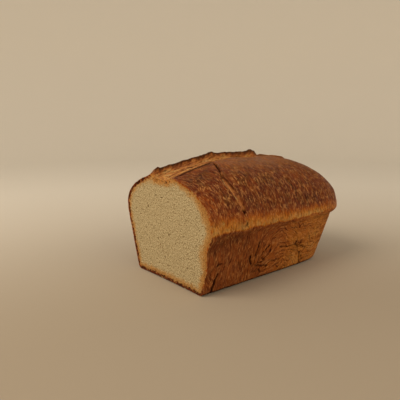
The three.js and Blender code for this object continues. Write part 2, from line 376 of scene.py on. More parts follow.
# Ends as (along, height), half width and depth.
CREASES = [
    ((14.4, 20.5), (12.2, 13), 1.1, 1.2),
    ((12.2, 14), (10.8, -1), 1.7, 2.8),
    ((11.7, 29.2), (18.1, 30.4), 1.0, 0.8),
    ((58.6, 28.5), (60.2, 23), 1.5, 2.4),
    ((60.2, 23), (62, 18), 1.3, 2.0),
    ((64.6, 28.6), (69.1, 42), 0.9, 0.9),
    ((75.9, 29.8), (85.3, 36), 0.9, 0.9),
    ((66, 17.2), (73.6, 15.9), 0.9, 0.8),
    ((73.6, 15.7), (86.7, 11.6), 1.0, 1.2),
    ((75, 24), (80, 20.5), 0.9, 1.0),
    ((70, 18.2), (75.9, 19), 0.8, 0.9),
    ((73.1, 10.8), (76.3, 7), 0.9, 0.9),
    ((65, 11.2), (69.1, 9.5), 0.8, 0.8),
    ((83.5, 33.5), (84.4, 37), 1.0, 0.9),
    ((40.6, 32.8), (42.4, 25.3), 0.7, 0.5),
    ((42.4, 25.3), (47, 17.9), 0.8, 0.6),
    ((50.1, 24.5), (52.8, 17.4), 0.7, 0.5),
    ((20.8, 25), (22.6, 30.8), 0.7, 0.5),
    ((90.3, 15.3), (99.3, 17.3), 0.8, 0.8),
    ((94.4, 9.5), (105.2, 11.9), 0.7, 0.5),
    ((87, 17.6), (98.4, 16.5), 0.9, 0.6),
    ((98.4, 16.5), (112, 17), 0.8, 0.7),
    ((103, 30.8), (116, 28), 1.0, 1.2),
    ((116, 28), (131, 27), 0.8, 0.8),
    ((128, 27), (131, 33), 0.8, 0.9),
    ((131, 27), (150, 20.8), 0.9, 0.8),
    ((128, 31), (133, 24), 0.8, 0.8),
    ((122, 22), (133, 19.5), 0.8, 0.6),
    ((134, 22), (138.5, 14), 0.9, 0.8),
    ((138.2, 16.5), (140.6, 2), 1.5, 1.3),
    ((142.6, 12), (144.2, 4), 0.9, 0.7),
    ((159, 30.5), (163, 28), 1.0, 0.7),
    ((65, 18.6), (65.9, 28.6), 0.7, 0.6),
    ((65.9, 28.6), (70, 35.6), 0.7, 0.6),
    ((70, 35.6), (73.6, 43.8), 0.6, 0.5),
    ((70.9, 22.3), (76.3, 30.2), 0.7, 0.6),
    ((77.2, 18.2), (82.2, 24.8), 0.6, 0.5),
    ((82.2, 24.8), (87.1, 30.6), 0.6, 0.5),
    ((87.1, 30.6), (89.8, 40), 0.6, 0.4),
    ((42.4, 56), (46.1, 43.2), 0.6, 0.35),
    ((51.5, 54), (55.5, 43.5), 0.6, 0.35),
    ((55.5, 43.5), (55.5, 34), 0.6, 0.4),
]

BELLY_HEIGHT = 28
BELLY_TALL = 10
BELLY_SWELL = 2.4
BELLY_REACH = 60
UNEVEN = 0.55


def tear_shift(t):
    """How far the tear lies from TEAR_X along the loaf at profile height t."""
    heights, shifts = zip(*TEAR_PATH)
    return np.interp(t, heights, shifts)


def distance_to_line(places, start, stop):
    """Distance of places, given by their coordinates, to a straight line between two points."""
    run = [b - a for a, b in zip(start, stop)]
    part = sum(r * (axis - a) for r, axis, a in zip(run, places, start))
    part = np.clip(part / sum(r * r for r in run), 0, 1)
    return np.sqrt(sum((axis - a - r * part) ** 2 for r, axis, a in zip(run, places, start)))


def unevenness(x, y, z):
    """Slow waves that run askew over the loaf and fade out at the cut and the base."""
    slow = np.sin(x / 17 + 0.6) * np.sin(z / 13 + x / 40)
    slow = slow + 0.6 * np.sin(x / 9.5 + y / 21 + z / 11)
    return UNEVEN * slow * ease(2, 14, z) * ease(0, 20, x)


def belly(x, z):
    return BELLY_SWELL * hump(z, BELLY_HEIGHT, BELLY_TALL) * (1 - ease(0, BELLY_REACH, x))


print("creases:", len(CREASES))

# %% [markdown]
# ## A grid that follows the marks
#
# The skin is a grid of columns, which run up the profiles, and rows, which run round the
# loaf. A mark that crosses the grid askew comes out jagged. So the columns stand closer
# near the cut and near the marks, they bend along with the tear, and the top rows follow
# the lip and the ear's edge.

# %% Columns and rows
SIDE_STEPS = 140
END_STEPS = 184
ROWS = 150
FOOT_PARTS = np.array([0, 0.004, 0.012, 0.024, 0.04, 0.058, 0.075])  # rows round the foot's edge
WALL_ROWS = 50
TOP_STEP = 1.05  # between the rows on top, past the slash
LIP_ROWS = (3, 2, 1.2, 0.6, 0.2, -0.15, -0.5, -0.9, -1.4, -1.9, -LIP_WIDTH)  # from the lip
EAR_ROWS = (0.9, 0.4, 0.1, -0.25, -0.6, -1, -1.5, -2.1, -2.8, -EAR_FACE)  # from the ear's edge
FLANK_ROWS = 11
FLOOR_ROWS = 10  # on each side of the spine
CLOSER_AT = [(12, 4, 1.3), (39, 6, 1.3), (60, 3, 0.6)]  # place, half width, how much
TEAR_PULL = 40  # columns this near to the tear bend with it


def spread_columns():
    """Places of the columns along the side, closer where the detail is finer."""
    x = np.linspace(0, SPINE_LENGTH, 2000)
    density = 1 / (0.7 + 0.6 * x / SPINE_LENGTH)
    for place, half, more in CLOSER_AT:
        density = density * (1 + more * hump(x, place, half))
    total = np.concatenate([[0], np.cumsum((density[1:] + density[:-1]) / 2)])
    return np.interp(np.linspace(0, total[-1], SIDE_STEPS + 1), total, x)


def share_at(out, reach, roundness):
    """Profile parameter of the dome point that is `out` mm away from the spine."""
    angle = np.arccos(np.minimum(1, out / reach) ** (roundness / 2))
    return WALL_SHARE + (1 - WALL_SHARE) * angle / (np.pi / 2)


def row_shares(x, outs, reach, roundness):
    """All rows of one profile. Past the slash the top rows drift back to even steps."""
    even = TOP_STEP * np.arange(len(outs) - 1, -1, -1)
    outs = mix(np.array(outs), even, ease(SLASH_LENGTH - 40, SLASH_LENGTH, x))
    tops = share_at(outs, reach, roundness)
    climbing = np.linspace(FOOT_PARTS[-1], 1, WALL_ROWS - len(FOOT_PARTS) + 1)[1:]
    wall = WALL_SHARE * np.concatenate([FOOT_PARTS, climbing])
    dome = np.linspace(WALL_SHARE, tops[0], ROWS - len(wall) - len(tops) + 2)[1:-1]
    return np.concatenate([wall, dome, tops])


def front_rows(x):
    lip = SPINE_Y - lip_y(x)
    near_lip = [lip + away for away in LIP_ROWS]
    floor = list(np.linspace(near_lip[-1], 0, FLOOR_ROWS + 1)[1:])
    return row_shares(x, near_lip + floor, front_reach(x), FRONT_ROUNDNESS)


def back_rows(x):
    edge = ear_y(x) - SPINE_Y
    flank = list(edge + np.linspace(EAR_FLANK, 1.6, FLANK_ROWS))
    near_edge = [edge + away for away in EAR_ROWS]
    floor = list(np.linspace(near_edge[-1], 0, FLOOR_ROWS + 1)[1:])
    return row_shares(x, flank + near_edge + floor, back_reach(x), BACK_ROUNDNESS)


side_x = spread_columns()
gaps = np.diff(side_x)
print("column spacing from", round(gaps.min(), 2), "to", round(gaps.max(), 2), "mm")

# %% [markdown]
# ## Points of the skin
#
# Three stretches make the skin: the front, the baked end and the back. On the end, each
# point lies in a direction about the end of the spine, and a superellipse joins the front
# profile, the end profile and the back profile. Along with every point go its profile
# height t, its distance u round the loaf and how much it belongs to the front.

# %% The three stretches
TINY = 1e-6  # keeps a division from meeting zero


def round_the_end(turn, t, power):
    """Distance out and height of the baked end's skin, in directions about the spine's end."""
    ends, end_z = end_profile(t)
    front_out, front_z = front_profile(SPINE_LENGTH, t)
    back_out, back_z = back_profile(SPINE_LENGTH, t)
    sides = np.where(turn < 0, front_out, back_out)
    along, across = np.cos(turn), np.abs(np.sin(turn))
    total = (along / np.maximum(ends, TINY)) ** power + (across / np.maximum(sides, TINY)) ** power
    z = mix(end_z, np.where(turn < 0, front_z, back_z), across**2)
    return np.where(t >= 1, 0, total ** (-1 / power)), z


def end_turns():
    """Directions about the spine's end, spaced evenly along the rim of the tin."""
    turn = np.linspace(-np.pi / 2, np.pi / 2, 2001)
    out, _ = round_the_end(turn, np.array(WALL_SHARE), PLAN_RIM)
    steps = np.hypot(np.diff(out * np.cos(turn)), np.diff(out * np.sin(turn)))
    length = np.concatenate([[0], np.cumsum(steps)])
    wanted = np.linspace(0, length[-1], END_STEPS + 1)[1:-1]
    return np.interp(wanted, length, turn), wanted, length[-1]


def side_points(profile, rows, sign):
    """x, y, z and t of one long side. On the front the columns bend along the tear."""
    t = np.array([rows(x) for x in side_x])
    x = side_x[:, None] + 0 * t
    if sign < 0:
        pull = 1 - ease(0, TEAR_PULL, np.abs(x - TEAR_X))
        x = x + pull * (1 - ease(TEAR_TOP, 1, t)) * tear_shift(t)
    out, z = profile(x, t)
    return x, SPINE_Y + sign * out, z, t


def end_points(turn, t):
    out, z = round_the_end(turn, t, plan_power(t))
    return SPINE_LENGTH + out * np.cos(turn), SPINE_Y + out * np.sin(turn), z, t


turns, end_u, end_length = end_turns()
part = (np.arange(1, END_STEPS) / END_STEPS)[:, None]
end_t = mix(front_rows(SPINE_LENGTH)[None, :], back_rows(SPINE_LENGTH)[None, :], part)
front = side_points(front_profile, front_rows, -1)
end = end_points(turns[:, None], end_t)
back = [values[::-1] for values in side_points(back_profile, back_rows, 1)]
X, Y, Z, T = (np.concatenate(stretch) for stretch in zip(front, end, back))

COLUMNS = len(X)
LAST_FRONT, FIRST_BACK = SIDE_STEPS, SIDE_STEPS + END_STEPS
column_u = np.concatenate([side_x, SPINE_LENGTH + end_u, 2 * SPINE_LENGTH + end_length - side_x[::-1]])
U = column_u[:, None] + 0 * T
U[: LAST_FRONT + 1] = front[0]
OUT_X = np.concatenate([0 * front[0], np.cos(turns)[:, None] + 0 * end_t, 0 * back[0]])
OUT_Y = np.concatenate([0 * front[0] - 1, np.sin(turns)[:, None] + 0 * end_t, 0 * back[0] + 1])
FRONTNESS = np.where(OUT_Y < 0, ease(0.75, 1, np.abs(OUT_Y)), 0)
RIM = np.where(np.arange(COLUMNS)[:, None] <= LAST_FRONT, front_rim(X), END_RIM)
print("skin grid:", COLUMNS, "columns of", ROWS, "rows; once round:", round(float(U.max())), "mm")

# %% [markdown]
# ## Large relief, then fine relief
#
# First come the large forms: the slow unevenness, the belly low on the wall and the slash.
# Then the surface direction is measured on that shape, and the fine relief is pushed along
# it: shrunken skin on the dome, folds on the wall, creases, the side tear and the strands
# in the torn band. Real relief catches the light at a low angle, which bump alone can't.

# %% Large forms
ON_TOP = 0.7  # above this profile height the large forms push up instead of out

LEVEL = ease(ON_TOP, 1, T)  # how far a point counts as lying on top
push = unevenness(X, Y, Z) + FRONTNESS * belly(X, Z)
lifted, curl = slash_relief(X, Y)
lifted = np.where(T > ON_TOP, lifted + flap_relief(X, Y), 0)
curl = np.where(T > ON_TOP, curl, 0)
SLASH_Y = Y.copy()  # place across the slash, before the ear curls over
X = np.maximum(0, X + OUT_X * push * (1 - LEVEL))
Y = Y + OUT_Y * push * (1 - LEVEL) + curl
Z = np.maximum(0, Z + push * LEVEL + lifted)


def surface_normals(points):
    """Outward directions of a grid of points, from the steps along both of its ways."""
    across = np.gradient(points, axis=0)
    up = np.gradient(points, axis=1)
    normals = np.cross(across, up)
    length = np.linalg.norm(normals, axis=2, keepdims=True)
    return normals / np.maximum(length, TINY)


def join_spine(values):
    """The front and the back share the points on the spine, so they share their values."""
    along = (values[: LAST_FRONT + 1, -1] + values[FIRST_BACK:, -1][::-1]) / 2
    values[: LAST_FRONT + 1, -1] = along
    values[LAST_FRONT + 1 : FIRST_BACK, -1] = along[-1]
    values[FIRST_BACK:, -1] = along[::-1]
    return values


POINTS = np.stack([X, Y, Z], axis=2)
NORMALS = join_spine(surface_normals(POINTS))
PROFILE = np.concatenate(
    [np.zeros((COLUMNS, 1)), np.cumsum(np.linalg.norm(np.diff(POINTS, axis=1), axis=2), axis=1)],
    axis=1,
)
print("longest profile:", round(float(PROFILE.max()), 1), "mm")

# %% [markdown]
# ## Folds pressed against the tin
#
# The wall of a tin loaf keeps the pattern of the dough's skin as it slid up the tin: fine
# lines like wood grain. They stand upright near the cut, fan out from a knot low on the
# front, and lie flat further along. The lines are the level lines of a slow field. The
# same field goes to the material, which draws the finer lines between the modelled ones.

# %% The fold field
KNOT = (57, 9)  # along, height
FAN_REACH = 27
FAN_START = 24  # the rays take over this far behind the knot
FLAT_START, FLAT_FULL = 36, 78
FLAT_SLOPE = 0.75
FOLD_SPACING = 4.3
FOLD_WIDTH = 2.2


def fold_field(u, z):
    """Upright lines before the knot, rays from it, then flat lines."""
    right, up = u - KNOT[0], z - KNOT[1]
    rays = FAN_REACH * np.arctan2(np.maximum(right, 0.1), up)
    flat = FAN_REACH * math.pi / 2 - FLAT_SLOPE * up
    lines = mix(mix(right, rays, ease(0, FAN_START, right)), flat, ease(FLAT_START, FLAT_FULL, right))
    warp = 4.5 * noise(21, u / 27, z / 21) + 1.4 * noise(22, u / 10, z / 8)
    return lines + warp + 0.6 * noise(23, u / 3.5, z / 5)


def thin_lines(field, spacing, width):
    """1 along the level lines of a field, falling to 0 at half the given width."""
    away = np.abs((field / spacing) % 1 - 0.5) * spacing
    return np.clip(1 - 2 * away / width, 0, 1)


WALL = 1 - ease(-3.5, 0.5, Z - RIM)
FOLD = fold_field(U, Z)
fold_patches = ease(-0.35, 0.35, noise(24, U / 15, Z / 12) + 0.25 * ease(30, 70, U))
FOLD_LINES = thin_lines(FOLD, FOLD_SPACING, FOLD_WIDTH) * fold_patches * WALL * ease(1, 5, Z)
print("share of the wall under a fold line:", round(float((FOLD_LINES > 0.3).mean()), 3))

# %% [markdown]
# ## The side tear and the band
#
# Torn places show stretched crumb that browned later than the skin round it. The side tear is a pale
# strip with a raised far edge, a ragged notch where it meets the lip, and small holes near its two
# ends; the notch and the holes are painted dark as shade, and a painted shadow runs beside the strip.
# The band on top has strands along the loaf and a broken row of tiny holes past its middle, also
# painted dark as shade. The ear's edge and the flap's edge are burnt, and near the cut the skin just
# before the lip gets a painted shadow of the lip. Each of these is a mask, mostly from 0 to 1, which
# shapes the relief and tells the material where to change.

# %% Masks of the side tear
# Masks that follow the tear use the profile height, 0 at the base and 1 at the spine.
STRIP_THIN = 0.45  # half width of the strip where it runs out
NOTCH_THIN, NOTCH_WIDE = 0.6, 1.3
# Strength, distance from the tear, half width, profile height and half height.
TEAR_HOLES = [
    (1.4, 0.3, 1.3, 0.477, 0.016),
    (0.9, -0.6, 0.9, 0.757, 0.01),
    (1.2, 0.9, 1.0, 0.393, 0.012),
]

tear_side = (U - TEAR_X) - tear_shift(T) - 0.3 * noise(31, PROFILE / 3)
strip_half = mix(STRIP_THIN, TEAR_HALF_WIDTH, between(T, 0.465, 0.5, 0.69, 0.8))
strip_open = FRONTNESS * between(T, 0.395, 0.41, 0.78, 0.81)
TEAR_STRIP = strip_open * (1 - ease(-0.4, 0.35, np.abs(tear_side) - strip_half))
notch_half = mix(NOTCH_THIN, NOTCH_WIDE, between(T, 0.78, 0.85, 0.9, 0.94))
notch_open = FRONTNESS * between(T, 0.765, 0.79, 0.925, TEAR_TOP)
TEAR_NOTCH = notch_open * hump(tear_side + 0.6 * noise(39, PROFILE / 1.4), 0, notch_half)
TEAR_HOLE = FRONTNESS * sum(
    strength * hump(tear_side, offset, half) * hump(T, at, tall)
    for strength, offset, half, at, tall in TEAR_HOLES)
far_lip = FRONTNESS * between(T, 0.45, 0.55, TEAR_TOP - 0.03, TEAR_TOP)
TEAR_LIP = far_lip * hump(tear_side, strip_half + 1.4, 1.2)
beside_strip = FRONTNESS * between(T, 0.46, 0.5, 0.77, 0.79)
far_shadow = mix(0.5, 1, ease(0.6, 0.66, T)) * hump(tear_side, strip_half + 0.4, 0.9)
TEAR_SHADOW = beside_strip * (far_shadow + 0.35 * hump(tear_side, -strip_half - 0.2, 0.4))
print("share of the skin in the side tear:", round(float((TEAR_STRIP > 0.5).mean()), 4))

# %% Masks of the band, the ear and the lip
HOLE_ROW = 0.62  # where the row of holes runs: 0 at the lip, 1 at the foot of the ear

lip, edge = lip_y(X), ear_y(X)
from_lip, from_edge = SLASH_Y - lip, SLASH_Y - edge
from_spine = (PROFILE[:, -1:] - PROFILE) * np.where(OUT_Y < 0, -1, 1)
band_part = from_lip / (edge - lip)
floor_part = from_lip / (edge - EAR_FACE - lip)
slash_open = 1 - ease(SLASH_LENGTH - 6, SLASH_LENGTH + 3, X)
on_top = ease(0.74, 0.8, T)
BAND = on_top * slash_open * ease(-0.1, 0.35, from_lip) * (1 - ease(-0.8, -0.1, from_edge))

row_middle = HOLE_ROW + 0.05 * noise(32, X / 9) + 0.09 * noise(68, X / 2.6)
row_half = 0.1 + 0.05 * noise(69, X / 3.3)
row_open = ease(-0.5, 0.2, noise(33, X / 2.2))
HOLE_LINE = BAND * hump(floor_part, row_middle, row_half) * row_open * ease(18, 30, X)

ragged = 0.5 * noise(34, X / 2.5)
ear_open = 1 - ease(SLASH_LENGTH, SLASH_LENGTH + EAR_DROP, X)
burnt = between(from_edge, -1.9 + ragged, -0.9 + ragged, 0.8, 2.6)
EAR_BURN = on_top * ear_open * ease(0, 3, X) * burnt
flap_along, flap_behind = flap_place(X, SLASH_Y)
FLAP_BURN = on_top * between(flap_along, 0, 0.08, 0.9, 1) * hump(flap_behind, -0.3, 0.7)
# A painted shadow of the lip on the skin just before it, near the cut: it darkens the browning and
# adds the darkest colour.
LIP_SHADOW = on_top * slash_open * hump(from_lip, -1.3, 2.0) * between(X, 2, 10, 46, 60)
print("torn share of the skin:", round(float(((BAND + TEAR_STRIP) > 0.5).mean()), 3))

# %% Marks on the dome
# Ends as x, y, z, then half width, change of height and change of darkness.
# Sunken marks get painted shade in their dents and raised streaks a painted highlight; the last, the
# raised flap ridge, is browner by its own colour.
DOME_MARKS = [
    ((121.9, -51.2, 100), (122.8, -56.5, 94.5), 1.0, -0.7, 0.22),
    ((122.8, -56.5, 94.5), (125.5, -61.3, 87.8), 0.9, -0.5, 0.18),
    ((12.6, -53, 90.9), (14.9, -65.5, 70.2), 1.1, 0.2, -0.22),
    ((33.5, -24, 111.5), (38.2, -35, 107), 0.8, 0.5, -0.14),
    ((36, -23, 112), (41, -33, 108), 0.7, -0.5, 0.16),
    ((32, -29, 109.5), (35.5, -39, 104.5), 0.8, 0.4, -0.12),
    ((137, 3.5, 121), (145, 1.5, 119), 1.3, 0.7, 0.24),
]
# Places as x, y, z, then half width and change of browning.
DOME_PATCHES = [
    ((58, -46, 103), 6, 0.12), ((137.3, -65.5, 79.9), 3.5, 0.14),
    ((30, -66, 73), 9, -0.1), ((48, -67, 68), 8, -0.06), ((90, -52, 99), 9, 0.05),
    ((14, -26, 109), 12, 0.07), ((34, -24, 112), 9, 0.06),
]


mark_height, mark_bake_and_shade = 0 * X, 0 * X
for start, stop, half, rise, darker in DOME_MARKS:
    away = distance_to_line((X, Y, Z), start, stop) + 0.3 * noise(18, PROFILE / 2, U / 2)
    line = hump(away, 0, half)
    mark_height, mark_bake_and_shade = mark_height + rise * line, mark_bake_and_shade + darker * line
for place, half, darker in DOME_PATCHES:
    away = np.sqrt(sum((axis - at) ** 2 for axis, at in zip((X, Y, Z), place)))
    mark_bake_and_shade = mark_bake_and_shade + darker * hump(away, 0, half)
print("marks on the dome:", len(DOME_MARKS) + len(DOME_PATCHES))

# %% Fine relief along the surface
# Round the spine's far end the columns run together, so there the skin's wrinkles give way
# to dents that run no way in particular.
FOLD_DEPTH = 0.45
RIM_CREASE_DEPTH = 0.3
HOLE_LINE_DEPTH = 0.9
NOTCH_DEPTH = 1.8
TEAR_HOLE_DEPTH = 2
# Creases are painted dark as shade, fully so from this depth on.
SHADE_DEPTH = 0.9  # a crease this deep is fully dark


def lumps(seed, size):
    """Noise in space, with lumps of about the given size."""
    return noise(seed, X / size, Y / size, Z / size)


DOME = 1 - WALL
SETTLED = ease(12, 42, np.hypot(X - SPINE_LENGTH, Y - SPINE_Y))
wrinkles = 0.18 * noise(41, U / 1.6, PROFILE / 4) + 0.2 * noise(42, U / 4.5, PROFILE / 9)
wrinkles = mix(0.2 * lumps(40, 2) + 0.15 * lumps(38, 4), wrinkles, SETTLED)
dents = 0.3 * lumps(43, 9)
blisters = 0.7 * np.maximum(0, lumps(44, 3.2) - 0.55)
strands = 0.4 * noise(45, X / 15, from_spine / 2.4) + 0.2 * noise(46, X / 7, from_spine / 1.4)
crumbly = 0.3 * lumps(47, 1.8)
wall_grain = 0.12 * noise(48, FOLD / 1.6, U / 5, Z / 5) + 0.35 * noise(49, FOLD / 4, U / 16, Z / 16)

crease_depth, crease_shade = 0 * X, 0 * X
wander = 0.7 * noise(51, U / 5, Z / 5) + 0.4 * noise(54, U / 1.8, Z / 1.8)
for start, stop, half_width, depth in CREASES:
    near = distance_to_line((U + wander, Z + wander), start, stop)
    line = np.clip(1 - near / half_width, 0, 1) * FRONTNESS
    crease_depth = np.maximum(crease_depth, depth * line)
    crease_shade = np.maximum(crease_shade, min(1, depth / SHADE_DEPTH) * ease(0, 0.4, line))
crease_shade = crease_shade * (1 - 0.12 * ease(75, 110, U))

relief = (
    DOME * (1 - BAND) * (wrinkles + dents + blisters + mark_height)
    + WALL * wall_grain
    - FOLD_DEPTH * FOLD_LINES
    - crease_depth
    - RIM_CREASE_DEPTH * hump(Z - RIM, -1.2 + 0.6 * noise(52, U / 8), 1.1)
    + BAND * (strands + crumbly)
    - HOLE_LINE_DEPTH * HOLE_LINE
    - TEAR_DEPTH * TEAR_STRIP * (1 + 0.3 * noise(53, X / 1.5, PROFILE / 3))
    - NOTCH_DEPTH * TEAR_NOTCH
    - TEAR_HOLE_DEPTH * TEAR_HOLE
    + TEAR_FAR_EDGE * TEAR_LIP
)
relief = relief * ease(0, 2.5, Z)
POINTS = join_spine(POINTS + NORMALS * relief[:, :, None])
POINTS[0, :, 0] = POINTS[-1, :, 0] = 0
POINTS[:, :, 0] = np.maximum(0, POINTS[:, :, 0])
POINTS[:, 0, 2] = 0
print("fine relief from", round(float(relief.min()), 1), "to", round(float(relief.max()), 1), "mm")

# %% [markdown]
# ## How brown each place is
#
# Browning follows the oven: the dome took the most heat, the part just above the rim stayed golden in
# the tin's shade, and the wall under the rim near the cut went dark against hot metal. One number from
# 0, pale, to 1, burnt, says this for each point. A little painted light rides on the same number:
# painted shade in the rim's crease further along, along the foot and before the lip near the cut, and
# a slight painted sheen on the level top. The material turns it into colour and adds the fine strokes.

# %% Browning of the dome and the wall
DOME_BROWN = 0.85
WALL_BROWN = 0.75

wavy = Z - RIM + 0.9 * noise(61, U / 10) + 0.5 * noise(60, U / 3)  # height above a wavy rim
far = ease(70, 150, U)
round_the_back = ease(SPINE_LENGTH + end_length - 60, SPINE_LENGTH + end_length, U)
golden = ease(-0.8, 1.5, wavy) * (1 - ease(2, mix(20, 15, far), wavy))
by_the_cut = (1 - ease(3, 30, X)) * between(T, 0.36, 0.44, 0.55, 0.76)
# The level top of the dome is a hair paler, a slight painted sheen.
bake_dome = (
    DOME_BROWN - 0.01 * ease(0.7, 0.9, T) - 0.03 * ease(150, 190, X)
    - (mix(0.55, 0.62, far) - 0.2 * ease(150, 190, U)) * golden
    - 0.14 * by_the_cut * FRONTNESS
    - 0.08 * (1 - ease(0.3, 3.2, X)) * ease(0.38, 0.5, T)
)
bake_wall = (
    WALL_BROWN - 0.1 * ease(20, 70, U) - 0.23 * ease(84, 130, U) + 0.18 * round_the_back
    + mix(0.08, 0.02, far) * hump(wavy, -9, 12)
    - 0.09 * ease(84, 120, U) * (0.25 + noise(70, U / 9, Z / 40))
)
# Painted shade rides on the browning: a dark line in the rim's crease further along, a darker foot
# that is partly the base edge's own colour
# and partly a painted contact shadow, and the lip's painted shadow near the cut.
BAKE_AND_SHADE = (
    mix(bake_dome, bake_wall, 1 - ease(mix(-4.5, -1.6, far), 1.4, wavy))
    + mark_bake_and_shade + 0.12 * hump(wavy, -1.2, 1) * far
    + 0.05 * lumps(62, 13) + 0.03 * lumps(63, 5)
    + 0.22 * (1 - ease(0.3, 2.6, Z)) + 0.2 * LIP_SHADOW
)
print("mean browning of the skin:", round(float(BAKE_AND_SHADE.mean()), 2))

# %% Browning of torn and burnt places
BAND_BROWN = 0.34
TEAR_BROWN = 0.38
BURNT_BROWN = 0.98

under_edge = hump(from_edge, -3, 2.4) * ease(-0.5, 0.2, noise(67, X / 13)) * (1 - ease(45, 62, X))
band_bake = (
    BAND_BROWN - 0.06 * ease(0.3, 0.6, band_part) - 0.07 * between(X, 14, 24, 50, 75)
    + 0.1 * (1 - ease(0.35, 0.55, floor_part)) * between(X, 5, 16, 50, 80)
    + 0.3 * hump(floor_part, HOLE_ROW, 0.14) * ease(18, 32, X)
    + 0.3 * under_edge + 0.05 * hump(from_edge, -1.2, 1)
    + 0.07 * noise(64, X / 9, from_spine / 1.7) + 0.06 * noise(65, X / 2, from_spine / 2)
)
tear_bake = (
    TEAR_BROWN - 0.26 * hump(tear_side, 0.5 - strip_half, 0.9) + 0.1 * hump(tear_side, 1.2, 0.9)
    + 0.12 * noise(66, U / 2, PROFILE / 2)
)
BAKE_AND_SHADE = mix(BAKE_AND_SHADE, band_bake, BAND)
BAKE_AND_SHADE = mix(BAKE_AND_SHADE, tear_bake, TEAR_STRIP)
BAKE_AND_SHADE = mix(BAKE_AND_SHADE, BURNT_BROWN, 0.95 * np.clip(EAR_BURN + 0.8 * FLAP_BURN, 0, 1))
TORN = np.clip(BAND + TEAR_STRIP, 0, 1) * (1 - EAR_BURN)
# Painted shade, with the burnt edges: creases, the tear's notch and holes, the row of holes, the
# shadows beside the tear and of the lip,
# the fold lines and a painted contact shadow along the foot are darkened as shade; the ear's edge is
# dark because it burnt.
SHADE_AND_BURN_MASK = np.clip(
    crease_shade + ease(0.3, 0.8, TEAR_NOTCH) + TEAR_HOLE + 0.75 * TEAR_SHADOW
    + 0.8 * HOLE_LINE + 0.65 * LIP_SHADOW + 0.6 * EAR_BURN + 0.25 * FOLD_LINES
    + 0.95 * WALL * (1 - ease(1.5, 3.2, Z)), 0, 1)
print("mean browning:", round(float(BAKE_AND_SHADE.mean()), 2))

# %% [markdown]
# ## The cut face
#
# The knife leaves a flat face of fine, even crumb with a few larger bubbles. Its edge is
# the end of the skin, so the two share their points and the solid is closed. A triangulator
# that keeps given edges fills the outline with a slightly shaken lattice of points, and
# each bubble then pushes its points into the loaf. Along the base the slice is slightly
# hollow, because the loaf shrank as it cooled.

# %% Filling a flat outline
HOLLOW = 0.9  # how far the base lifts off the ground at the cut
HOLLOW_LENGTH = 45
SHAKE = 0.18  # of the lattice step
EDGE_GAP = 0.55  # lattice points nearer to the outline than this part of a step are left out


def base_height(x, y):
    across = 1 - np.clip(np.abs(y) / (BACK_FOOT - FOOT_RADIUS), 0, 1) ** 3
    return HOLLOW * across * (1 - ease(0, HOLLOW_LENGTH, x))


def lattice(low, high, step, seed):
    """Points of a triangular lattice over a rectangle, each shaken a little."""
    rows = np.arange(low[1], high[1], step * math.sqrt(0.75))
    points = []
    for number, row in enumerate(rows):
        along = np.arange(low[0] + (number % 2) * step / 2, high[0], step)
        points.append(np.column_stack([along, np.full(len(along), row)]))
    points = np.concatenate(points)
    return points + np.random.default_rng(seed).uniform(-SHAKE, SHAKE, points.shape) * step


def distance_and_inside(points, outline):
    """Distance of points to a closed outline, and whether they lie inside it."""
    across, up = points.T
    distance = np.full(len(points), np.inf)
    inside = np.zeros(len(points), bool)
    for a, b in zip(outline, np.roll(outline, -1, axis=0)):
        distance = np.minimum(distance, distance_to_line((across, up), a, b))
        if a[1] != b[1]:
            crosses = (a[1] > up) != (b[1] > up)
            inside ^= crosses & (across < a[0] + (up - a[1]) * (b[0] - a[0]) / (b[1] - a[1]))
    return distance, inside


def fill_outline(outline, step, seed):
    """Inner points and triangles that fill an outline, with the outline's points first."""
    points = lattice(outline.min(axis=0), outline.max(axis=0), step, seed)
    distance, inside = distance_and_inside(points, outline)
    points = points[inside & (distance > EDGE_GAP * step)]
    corners = np.concatenate([outline, points])
    count = len(outline)
    edges = [(i, (i + 1) % count) for i in range(count)]
    made = delaunay_2d_cdt([tuple(c) for c in corners.tolist()], edges, [], 1, 1e-5)
    origin = [ids[0] for ids in made[3]]
    return points, [[origin[v] for v in face] for face in made[2]]


front_foot_y, back_foot_y = POINTS[0, 0, 1], POINTS[-1, 0, 1]
SILL_STEPS = 90  # points along the cut's bottom edge
sill_y = np.linspace(back_foot_y, front_foot_y, SILL_STEPS + 2)[1:-1]
sill_z = base_height(0, sill_y) + 0.25 * np.abs(noise(71, sill_y / 2.5)) * hump(sill_y, 0, 40)
SILL = np.column_stack([0 * sill_y, sill_y, sill_z])
print("cut's bottom edge lifts up to", round(float(sill_z.max()), 1), "mm")

# %% The crumb's lattice and its browned rim
CRUMB_STEP = 0.72
# How far the golden crumb and the brown crust reach in, in millimetres.
GOLDEN_REACH, BASE_GOLDEN = 8, 9
FRONT_GOLDEN, FRONT_GOLDEN_MIDDLE = 7.5, 11.5
THICK_CRUST, THIN_CRUST, TORN_CRUST = 2.8, 0.9, 0.4
# How brown the edge is at the back, the front and the torn top.
EDGE_BROWN, FRONT_BROWN, TORN_BROWN = 0.78, 0.64, 0.32

cut_outline = np.concatenate([POINTS[0, :, 1:], POINTS[-1, -2::-1, 1:], SILL[:, 1:]])
crumb_yz, crumb_faces = fill_outline(cut_outline, CRUMB_STEP, 5)
rim_distance, _ = distance_and_inside(crumb_yz, cut_outline)
crumb_y, crumb_z = crumb_yz[:, 0], crumb_yz[:, 1]

